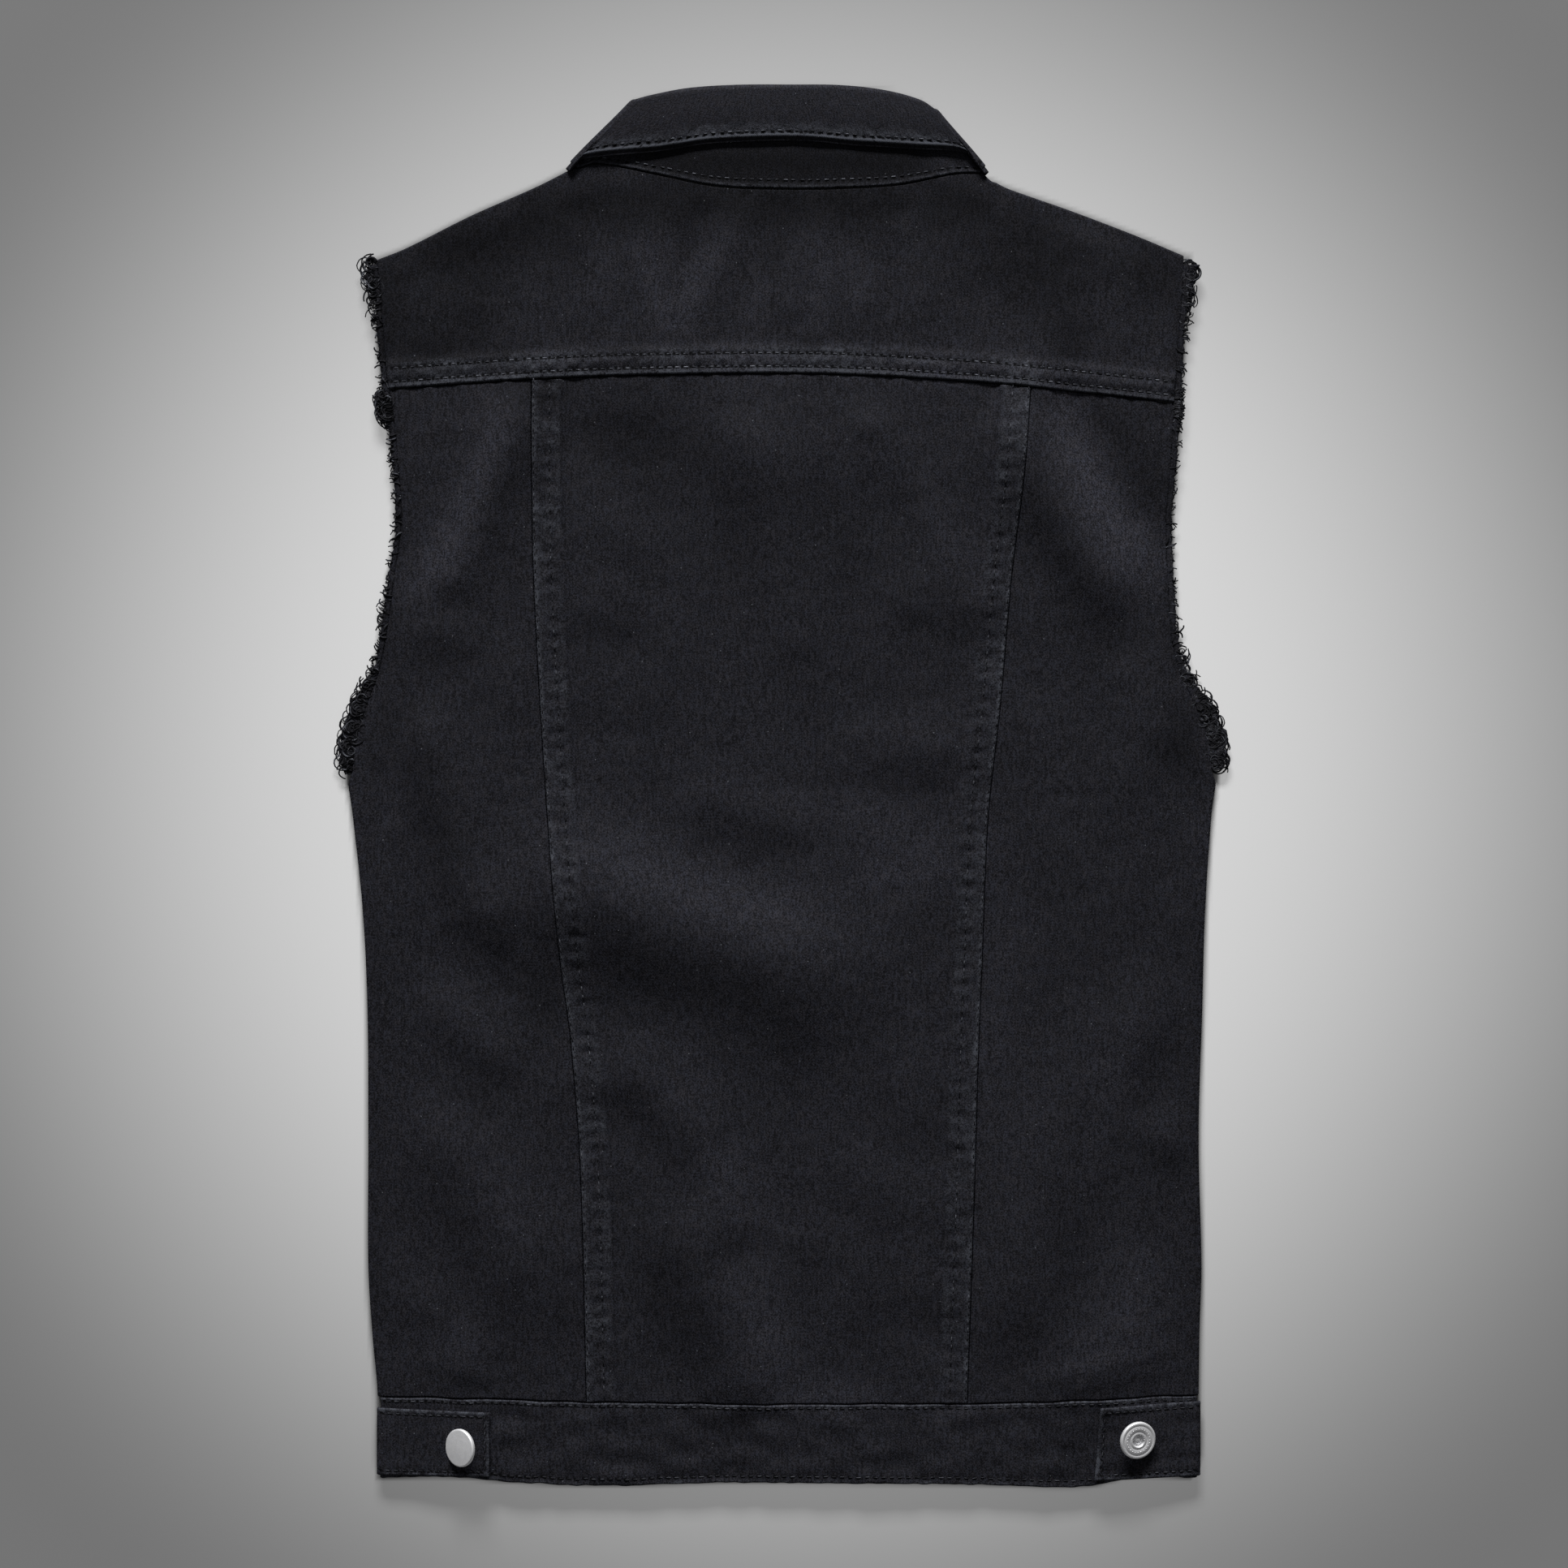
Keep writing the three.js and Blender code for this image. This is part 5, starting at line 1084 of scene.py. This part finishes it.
for side, name in SIDES:
    radius = turn_radius(EDGE_TOP, CLOTH)
    tip = abs(FRONT_EDGE[name][-1]) - RAW_INSET
    neck = abs(NECK_POINT[0 if side < 0 else 1]) + NECK_SLACK
    share = np.concatenate([shares(FRONT_WIDE, 5), np.ones(len(TURN))])[:, None]
    bent = np.concatenate([np.zeros(len(share) - len(TURN)), TURN])[:, None]

    def front_across(share, y):
        raw = np.abs(curve(FRONT_EDGE, "y", name, y)) - RAW_INSET
        outer = lerp(raw, np.abs(edge_at(y, side)), side_turn(y))
        neckline = curve(front_neck_rows, "neckY", "neckX", y + NECK_SLACK) + NECK_SLACK
        inner = np.maximum(PLACKET_HALF + SEAM_GAP, np.where(y > NECK_FOOT - NECK_SLACK, neckline, 0))
        return lerp(inner, outer - turn_start(radius, CLOTH, side_turn(y)), share)

    foot = band_top_edge(side * front_across(share, -325.0)) + CURVED_GAP
    head = shoulder_line(side * lerp(neck, tip, share)) - turn_start(radius, CLOTH, 1)
    low = lerp(foot, NECK_FOOT - NECK_SLACK - 0.05, shares(FRONT_LONG, 5))
    high = lerp(NECK_FOOT - NECK_SLACK, head, np.array([0, 0.01, 0.03, *np.linspace(0.06, 1, 22)]))
    y = np.concatenate([low, high], 1)
    x = front_across(share, y)
    over, down = quarter(radius, side_turn(y), bent)
    grid = np.dstack([side * (x + over), y, front_lift(side * x, y, side) + CLOTH / 2 + down])
    over, down = quarter(radius, 1, TURN)
    line = grid[:, -1:]
    turned = line + np.dstack([0 * over, over, down]).reshape(1, -1, 3)
    grid = np.concatenate([grid, turned], 1)
    grid = grid if side > 0 else grid[::-1]
    panel = wall(f"front_{name}_cloth", grid, CLOTH / 2, CLOTH / 2)
    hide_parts(f"front_{name}")

# Button bands
# A strip of doubled denim down the edge of each front, the left one closed over the right one.
# Edge stitches run down both sides of each.
PLACKET_WIDE = 33
PLACKET_ROWS = (2.2, 3.2)  # stitches in from its outer and its inner edge
for side, name in SIDES:
    share = shares(PLACKET_WIDE, 2.2)[:, None]
    x = side * lerp(PLACKET_HALF, 1 - PLACKET_HALF, share)
    y = lerp(band_top_edge(x) + SEAM_GAP, NECK_FOOT - NECK_SLACK, shares(FRONT_LONG, 5))
    lift = front_foot(x, y) + (OVERLAP_LIFT if side > 0 else 0)
    grid = np.dstack([np.broadcast_to(x, y.shape), y, lift + CLOTH / 2])
    grid = grid if side < 0 else grid[::-1]
    in_from_edge = np.minimum(share, 1 - share) * PLACKET_WIDE
    edge_wear = 0.6 * near_line(in_from_edge - 0.3, 0.9) + 0 * y
    strip = wall(f"placket_{name}_cloth", grid, CLOTH / 2, CLOTH / 2, edge_wear)
    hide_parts(f"placket_{name}")
    row_y = np.linspace(-325, 241, 120)
    lines = []
    for row_x in (side * (PLACKET_HALF - PLACKET_ROWS[0]), side * (PLACKET_ROWS[1] - PLACKET_HALF)):
        height = front_foot(row_x, row_y) + (OVERLAP_LIFT if side > 0 else 0)
        lines.append(np.stack([0 * row_y + row_x, row_y, height - 0.05], -1))
    sewing(f"stitching_placket_{name}", lines, 0.5, 9 + side)

# Front waistband
# The two front lengths of the band, of two plies, joined to the back length at the side folds.
# They close with the fronts, over the lowest button.
BAND_OVER_SHARE = 1.4  # its step over the lower length, as a share of the fronts' own step
BAND_FRONT_LONG = 170
for side, name in SIDES:
    start = band_start(side)
    plain = lerp(float(start), PLACKET_HALF * 2.4, shares(BAND_FRONT_LONG, 4))
    reach = np.concatenate([plain, np.linspace(38, 1 - PLACKET_HALF, 30)])
    x = side * reach[:, None]
    y = band_row(x, shares(BAND_TALL, 3))
    over = overlap_step(x) * BAND_OVER_SHARE if side > 0 else 0
    grid = np.dstack([np.broadcast_to(x, y.shape), y, front_foot(x, y) + over + BAND / 2])
    out, up = quarter(band_radius, 1, TURN[::-1, None])
    grid = np.concatenate([grid[0][None] + np.dstack([side * out, 0 * out, up]), grid])
    grid = grid if side > 0 else grid[::-1]
    below = band_top_edge(grid[..., 0]) - grid[..., 1]
    edge_wear = 0.7 * near_line(below - 0.3, 0.9)
    band = wall(f"waistband_front_{name}_cloth", grid, BAND / 2, BAND / 2, edge_wear)
    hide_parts(f"waistband_front_{name}")

# Front buttons
# Six silvered tack buttons riveted down the closed front, of the same size as those of the tabs.
# They lie cap down on the surface, under the cloth.
FRONT_BUTTONS_AT = (205, 85, -35, -155, -275, -347)
LAID_THICK, LAID_EDGE = 1.4, 0.5
for k, at in enumerate(FRONT_BUTTONS_AT, 1):
    flat = BUTTON / 2 - LAID_EDGE
    profile = [(0, 0), (8.8, 0), *rounded(flat, LAID_EDGE, LAID_EDGE, -90, 0)]
    profile += [*rounded(flat, LAID_THICK - LAID_EDGE, LAID_EDGE, 0, 90), (0, LAID_THICK)]
    points, faces = revolve(profile, 48)
    clean = np.zeros(len(points))
    placed = points + (0, at, 0)
    button = build(f"button_front_{k}_metal", placed, faces, silver, cloth=points, wear=clean)
    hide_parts(f"button_front_{k}")

# Collar
# A leaf and a stand of two plies each. The stand is sewn to the neck, and the leaf rolls over it
# at the top and lies back down on it, stitched along its free edge.
COLLAR = 1.6
STAND_SHARE = 0.55  # how much of the way from neck to fold is stand
STAND_FRONT, STAND_FOLD, STAND_DROP = 3.1, 6.1, 0.5
LEAF_FRONT, LEAF_FOLD, LEAF_EDGE = 0.8, 9.1, 8.1
LEAF_ROW, STAND_ROW = 2.5, 3.4  # stitches in from the leaf's edge and above the neck seam
UNDER_PLY = np.array([-0.1, -0.085, -0.06, -0.03, -0.012])  # the lower ply, past the upper one
ROLL_EDGE, ROLL_TIGHT = 0.7, 0.3  # how tightly the collar turns at its edge and at its fold
under_left = [("front", u) for u in np.linspace(1, 0.02, 64)]
over_back = [("back", u) for u in np.linspace(-0.985, 0.985, 92)]
side_angles = np.linspace(-90, 90, 13)
STATIONS = [(-1, kind, u) for kind, u in under_left]
STATIONS += [(-1, "angle", a) for a in side_angles]
STATIONS += [(0, kind, u) for kind, u in over_back]
STATIONS += [(1, "angle", a) for a in side_angles[::-1]]
STATIONS += [(1, kind, u) for kind, u in under_left[::-1]]


def collar_plan(side, kind, at, line):
    """Where one of the collar's lines passes a station, seen from above."""

    def point_of(rows, u):
        return np.array([float(curve(rows, "u", f"{line}{axis}", u)) for axis in "XY"])

    if kind == "back":
        return point_of(COLLAR_BACK, at)
    edge = point_of(COLLAR_BACK, side)
    if kind == "angle":
        return edge
    fade = 1 - float(smooth(at / 0.6))
    there, first = point_of(COLLAR_FRONT, at) * (side, 1), point_of(COLLAR_FRONT, 0) * (side, 1)
    return there + (edge - first) * fade


plans = {line: np.array([collar_plan(*s, line) for s in STATIONS]) for line in ("fold", "leaf", "neck")}
kinds = np.array([s[1] for s in STATIONS])
sides = np.array([s[0] for s in STATIONS])
angles = np.radians([s[2] if s[1] == "angle" else 0 for s in STATIONS])


def collar_points(from_line, to_line, share, under, over):
    """Points at shares of the way between two lines, on the layer under or over the garment."""
    plan = plans[from_line][:, None] + (plans[to_line] - plans[from_line])[:, None] * share[None, :, None]
    z = np.where((kinds == "front")[:, None], under, over)
    away = plans["fold"] - plans["leaf"]
    away = np.stack([away[:, 1], -away[:, 0]], 1) / np.linalg.norm(away, axis=1, keepdims=True)
    away *= sides[:, None]
    radius = (over - under) / 2
    turning = (kinds == "angle")[:, None]
    tight = lerp(ROLL_EDGE, ROLL_TIGHT, smooth(share))[None]
    swing = np.where(turning, radius * np.cos(angles)[:, None] * tight, 0)
    plan = plan + away[:, None] * swing[..., None]
    z = np.where(turning, (over + under) / 2 + radius * np.sin(angles)[:, None], z)
    return np.dstack([plan, z])


neck = plans["neck"]
neck_height = back_top(neck[:, 0], neck[:, 1] - 2) - STAND_DROP


def stand_points(share):
    over = lerp(neck_height[:, None], STAND_FOLD, share[None])
    return collar_points("neck", "fold", share, STAND_FRONT, over)


def leaf_points(share):
    """The leaf, whose free edge stands a little off the stand and waves."""
    x = plans["leaf"][:, 0][:, None]
    wave = 0.35 * ripples(x, 20 * share[None], 70, 71) + 0.12 * ripples(x, 30 * share[None], 22, 72)
    lift = (0.7 + wave) * (1 - share[None]) ** 1.5 * (kinds == "back")[:, None]
    body = 0.7 * np.sin(math.pi * share[None]) * (kinds == "back")[:, None]
    over = lerp(LEAF_EDGE, LEAF_FOLD, share[None]) + lift + body
    return collar_points("leaf", "fold", share, LEAF_FRONT + 0 * over, over)


def walked_plan(grid):
    """Lengths walked over a grid both ways, as the cloth's own flat coordinates."""
    u = np.linalg.norm(np.diff(grid, axis=0), axis=2).mean(1)
    v = np.linalg.norm(np.diff(grid, axis=1), axis=2)[kinds == "back"].mean(0)
    u, v = np.concatenate([[0], np.cumsum(u)]), np.concatenate([[0], np.cumsum(v)])
    return np.meshgrid(u, v, indexing="ij")


stand = stand_points(shares(28, 1.5) * (STAND_SHARE - 0.01))
stand_u, stand_v = walked_plan(stand)
stand_lip = 0.3 * near_line(stand_v - 0.9, 1.1) - 0.22 * near_line(stand_v - STAND_ROW, 0.8)
stand_lip += 0.16 * ripples(stand_u, 0 * stand_u, 5, 74) * near_line(stand_v - 3.5, 2.5)
stand_piece = wall(
    "collar_stand_cloth", stand, COLLAR / 2 + stand_lip, COLLAR / 2,
    0.35 * near_line(stand_v - 0.8, 1.1), (stand_u, stand_v),
    (stand_u - stand_u[kinds == "back"][0, 0], stand_v - STAND_ROW, FAR),
)
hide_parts("collar_stand")

outer = leaf_points(np.concatenate([UNDER_PLY, shares(42, 1.6)[:-3]]))
inner = stand_points(np.linspace(1, STAND_SHARE + 0.01, 9))
a, b = outer[:, -1], inner[:, 0]
centre, half = (a + b) / 2, (a - b) / 2
rise = np.concatenate([plans["fold"] - plans["leaf"], np.zeros((len(STATIONS), 1))], 1)
rise *= (np.linalg.norm(half, axis=1) / np.linalg.norm(rise, axis=1))[:, None]
roll = [centre + half * math.cos(t) + rise * math.sin(t) for t in np.radians(np.linspace(18, 162, 9))]
leaf = np.concatenate([outer, np.stack(roll, 1), inner], 1)
leaf_u, leaf_v = walked_plan(leaf)
lip_from = leaf_v[0, len(UNDER_PLY)]
leaf_in = leaf_v - lip_from
on_top = (kinds == "back")[:, None]
leaf_lip = 0.25 * near_line(leaf_in - 0.8, 1) - 0.25 * near_line(leaf_in - LEAF_ROW, 0.9)
leaf_lip += 0.45 * ripples(leaf_u, 0 * leaf_u, 5, 73) * near_line(leaf_in - 5.5, 2.6)
leaf_out = np.where(leaf_in < -0.1, 0.05, COLLAR / 2 + leaf_lip * on_top)
leaf_wear = 0.85 * near_line(leaf_in - 0.6, 0.8) + 0.42 * smooth(1 - (leaf_in - 3) / 11) * (leaf_in > -0.1)
leaf_wear *= on_top * (1 + 0.35 * ripples(leaf_u, leaf_v, 26, 75))
leaf_piece = wall(
    "collar_leaf_cloth", leaf, leaf_out, COLLAR / 2, leaf_wear, (leaf_u, leaf_v),
    (leaf_u - leaf_u[kinds == "back"][0, 0], leaf_in - LEAF_ROW, FAR),
)
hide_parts("collar_leaf")


def stitch_line(grid, at):
    """A line on the outside of the collar at a length walked from its first edge."""
    k = int(np.searchsorted(walked_plan(grid)[1][0], at))
    normal = np.cross(np.gradient(grid, axis=0), np.gradient(grid, axis=1))[:, k]
    normal /= np.linalg.norm(normal, axis=1, keepdims=True)
    return (grid[:, k] + normal * (COLLAR / 2 - 0.15))[kinds == "back"]


rows = [stitch_line(leaf, lip_from + LEAF_ROW), stitch_line(stand, STAND_ROW)]
sewing("stitching_collar", rows, 0.7, 12)

# Frayed armholes
# Where the sleeves were cut off, the weft hangs out of the raw edge as short, curled, knotted
# threads, longest at the shoulder tips, at the ends of the yoke seam and under the arms.
STRIP_THICK = 1.0
FRAY_BACK = table(
    "y left right crowd",
    (8, 5, 6, 3), (14, 13, 12, 7), (28, 14, 17, 7), (40, 12, 15, 6), (52, 6, 9, 3), (62, 2.6, 6, 1.4),
    (80, 2.2, 3.5, 0.8), (92, 6, 2, 0.9), (104, 2.2, 2, 0.8), (150, 2, 2.2, 0.7), (190, 2.2, 2, 0.8),
    (194, 3, 2, 2), (196.5, 9, 2, 9), (207, 10, 2, 10), (210, 3, 2, 1), (235, 2.4, 3, 0.8),
    (252, 5, 4, 1.4), (262, 10, 7, 3), (279, 15, 11, 4),
)
FRAY_FRONT = table("y left right crowd", (8, 4, 4, 1), (279, 4, 4, 1))
YARN_RADIUS = 0.58
YARN_POINTS = 12
YARN_SIDES = 3
CLUMP = 2.6  # pitch of the clumps that the yarns gather in
BACK_YARNS, FRONT_YARNS = 640, 240
BACK_LOWEST, FRONT_LOWEST = 1.3, 0.75  # height under which no yarn sinks


def fray(node, side, edge_rows, lengths, height_at, count, lowest, seed):
    """A parted strip of cloth and the loose threads that hang out of it."""
    column = "left" if side < 0 else "right"
    chance = np.random.default_rng(seed)
    start, stop = UNDERARM + 5, edge_rows["y"][-1] - 3

    def middle(y, inward=STRIP / 2 + SEAM_GAP):
        x = curve(edge_rows, "y", column, y) - side * inward
        return np.stack([x, y, height_at(x, y)], -1)

    def outward(y):
        slope = (curve(edge_rows, "y", column, y + 1) - curve(edge_rows, "y", column, y - 1)) / 2
        way = np.stack([side + 0 * y, -side * slope, 0 * y], -1)
        return way / np.linalg.norm(way, axis=-1, keepdims=True)

    bed = np.linspace(start, stop, 320)
    ragged = 0.9 + 0.5 * ripples(bed, 0 * bed, 3.6, seed + 1)
    ragged += 0.4 * ripples(bed, 0 * bed, 11, seed + 3)
    across = np.array([-0.85, -0.3, 0.2, 0.4])[:, None] + np.array([0, 0, 0, 0.45])[:, None] * ragged
    mass = np.interp(bed, lengths["y"], lengths[column]) * 0.4 / STRIP
    mass *= smooth((66 - bed) / 14) + (0.8 + 0.4 * side) * smooth((bed - 254) / 18)
    across[-1] += mass * (0.8 + 0.3 * ripples(bed, 0 * bed, 5, seed + 4))
    grid = middle(bed)[None] + outward(bed)[None] * (across[..., None] * STRIP)
    grid = grid if side > 0 else grid[::-1]
    strip = wall(f"{node}_cloth", grid, STRIP_THICK / 2, STRIP_THICK / 2, 0.08)
    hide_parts(node)

    crowd = np.interp(bed, lengths["y"], lengths["crowd"])
    odds = np.cumsum(crowd) / np.sum(crowd)
    y = np.interp(chance.uniform(0, 1, count), odds, bed)
    clump = np.round(y / CLUMP + 0.4 * ripples(y, 0 * y, 9, seed + 2)) * CLUMP
    y = lerp(y, np.clip(clump, start, stop), 0.55)
    long = np.interp(y, lengths["y"], lengths[column]) * chance.uniform(0.25, 1.2, count)
    bundle = 0.5 * np.sin(y * 1.7) + 0.4 * np.sin(y * 0.61 + 1)
    angle = bundle + chance.normal(0, 0.5, count)
    curl = chance.choice([-1, 1], count) * (long + 1) / chance.choice([1.5, 2.1, 3.2], count)
    inset = chance.uniform(0.3, 2.2, count) + chance.choice([0, 0, 2.6], count)
    root, way = middle(y, inset), outward(y)
    sideways = np.stack([-way[:, 1], way[:, 0], way[:, 2]], -1)
    t = np.linspace(0, 1, YARN_POINTS)
    bend = angle[:, None] + curl[:, None] * (t - 0.25) + chance.normal(0, 0.12, (count, YARN_POINTS))
    step = (1.3 * long + 0.3 + inset)[:, None] / (YARN_POINTS - 1)
    ahead = np.cumsum(np.cos(bend) * step, 1)
    beside = np.cumsum(np.sin(bend) * step, 1)
    lines = root[:, None] + way[:, None] * ahead[..., None] + sideways[:, None] * beside[..., None]
    sag = np.minimum(root[:, 2] - lowest, 0.35 * long) * chance.uniform(0.1, 1, count)
    hump = chance.uniform(-0.5, 0.9, count)
    lines[:, :, 2] += hump[:, None] * np.sin(math.pi * t) - sag[:, None] * t**1.5
    lines[:, :, 2] = np.maximum(lines[:, :, 2], lowest)
    radius = YARN_RADIUS * chance.uniform(0.8, 1.25, count)[:, None] * (1 - 0.35 * t[None])
    points, faces = tubes(lines, radius, YARN_SIDES)
    each = np.repeat(chance.choice([0, 0, 0.1, 0.5], count), YARN_POINTS * YARN_SIDES)
    threads = build(f"{node}_cloth_threads", points, faces, thread, cloth=points, wear=each)
    return [strip, threads]


def back_middle(x, y):
    return back_top(x, y) - CLOTH / 2


def front_middle(x, y):
    return front_foot(x, y) + CLOTH / 2


for side, name in SIDES:
    node = f"fray_back_{name}"
    fringe = fray(node, side, BACK_EDGE, FRAY_BACK, back_middle, BACK_YARNS, BACK_LOWEST, 80 + side)
    node = f"fray_front_{name}"
    fringe = fray(node, side, FRONT_EDGE, FRAY_FRONT, front_middle, FRONT_YARNS, FRONT_LOWEST, 90 + side)

# Floor and light
# A pale surface, lit by one large soft light from beyond the collar and a weaker one from
# above, with an even pale surround. Its colour is a painted pool of light, pale in the middle
# and dimmer further out, and outside the vest's outline it glows with painted light.
FLOOR_HALF = 9000
POOL_LIT = (0.3, 0.3, 0.3, 1)
POOL_DIM = (0.08, 0.08, 0.08, 1)
BLACK = (0, 0, 0, 1)
FLOOR_CENTRE = (0.005, 0.01, 0)  # of the painted pool of light in the middle, in metres
PAINTED_GLOW = 1.28  # painted glow: the open surface emits light though no lamp is there, so shadows on it are faint
ground = Finish("floor_painted_light")
away = ground.node("ShaderNodeTexCoord", output="Object")
from_middle = ground.node("ShaderNodeVectorMath", {"operation": "SUBTRACT"}, {0: away, 1: FLOOR_CENTRE})
distance = ground.node("ShaderNodeVectorMath", {"operation": "LENGTH"}, {0: from_middle}, "Value")
speckle = ground.noise(away, 900, 2.0)
# Painted pool of light: the floor's colour dims with distance from the middle.
painted_light_pool = ground.mixed(distance.between(0.18, 0.565), POOL_LIT, POOL_DIM)
# Painted glow: the floor emits its colour outside the vest's outline, filling in the vest's shadows.
ground.surface(
    Base_Color=painted_light_pool, Roughness=0.85 + speckle * 0.1, Specular_IOR_Level=0.1,
    Emission_Color=ground.mixed(ground.mark("open"), BLACK, painted_light_pool), Emission_Strength=PAINTED_GLOW,
)
collar_outline = []
for axis in "XY":
    leaf_ends = COLLAR_BACK[f"leaf{axis}"]
    collar_outline.append(np.concatenate([leaf_ends[:1], COLLAR_BACK[f"fold{axis}"], leaf_ends[-1:]]))


def floor_glow_mask(x, y):
    """1 where the surface is open and the painted glow shows, 0 where the vest covers it."""
    across = np.maximum(shoulder_line(x), np.interp(x, *collar_outline, left=0, right=0))
    beside = smooth((np.abs(x) - np.abs(edge_at(y, x))) / 3)
    below = curve(BAND_FOOT, "x", "y", x) - y
    return np.maximum.reduce([beside, smooth((y - across) / 4), smooth(below / 3)])


# The grid is finest where the edges of the vest cross it.
across = np.concatenate([(0, 30, 60), np.arange(66, 246, 2.0), (300, 900, FLOOR_HALF)])
x = np.concatenate([-across[:0:-1], across])
near_vest = [np.arange(-380, -360, 2.0), np.arange(-356, 260, 5.0), np.arange(262, 384, 2.0)]
y = np.concatenate([(-FLOOR_HALF, -900), *near_vest, (900, FLOOR_HALF)])
x, y = np.meshgrid(x, y, indexing="ij")
index = np.arange(x.size).reshape(x.shape)
corners = np.stack([index[:-1, :-1], index[1:, :-1], index[1:, 1:], index[:-1, 1:]], -1)
floor_mesh = bpy.data.meshes.new("floor")
spots = np.stack([x, y, 0 * x - 0.1], -1).reshape(-1, 3)
floor_mesh.from_pydata((spots * MM).tolist(), [], corners.reshape(-1, 4).tolist())
floor_mesh.attributes.new("open", "FLOAT", "POINT").data.foreach_set("value", floor_glow_mask(x, y).ravel())
floor_mesh.materials.append(ground.material)
floor = bpy.data.objects.new("floor", floor_mesh)
scene.collection.objects.link(floor)


def soft_light(name, power, wide, deep, place):
    """A large lamp at a place, turned to the middle of the vest."""
    light = bpy.data.lights.new(name, "AREA")
    light.shape = "RECTANGLE"
    light.size, light.size_y, light.energy = wide * MM, deep * MM, power
    lamp = bpy.data.objects.new(name, light)
    lamp.location = [v * MM for v in place]
    way = -np.array(place, float)
    flat = math.hypot(way[0], way[1])
    lamp.rotation_euler = (math.atan2(flat, -way[2]), 0, math.atan2(way[1], way[0]) - math.pi / 2)
    scene.collection.objects.link(lamp)


soft_light("key_light", 990, 3300, 1200, (-450, 6300, 2775))
soft_light("top_light", 4, 1800, 1800, (0, -300, 2600))
world = bpy.data.worlds.new("surround")
world.use_nodes = True
world.node_tree.nodes["Background"].inputs["Color"].default_value = (0.8, 0.8, 0.81, 1)
world.node_tree.nodes["Background"].inputs["Strength"].default_value = 0.12
scene.world = world
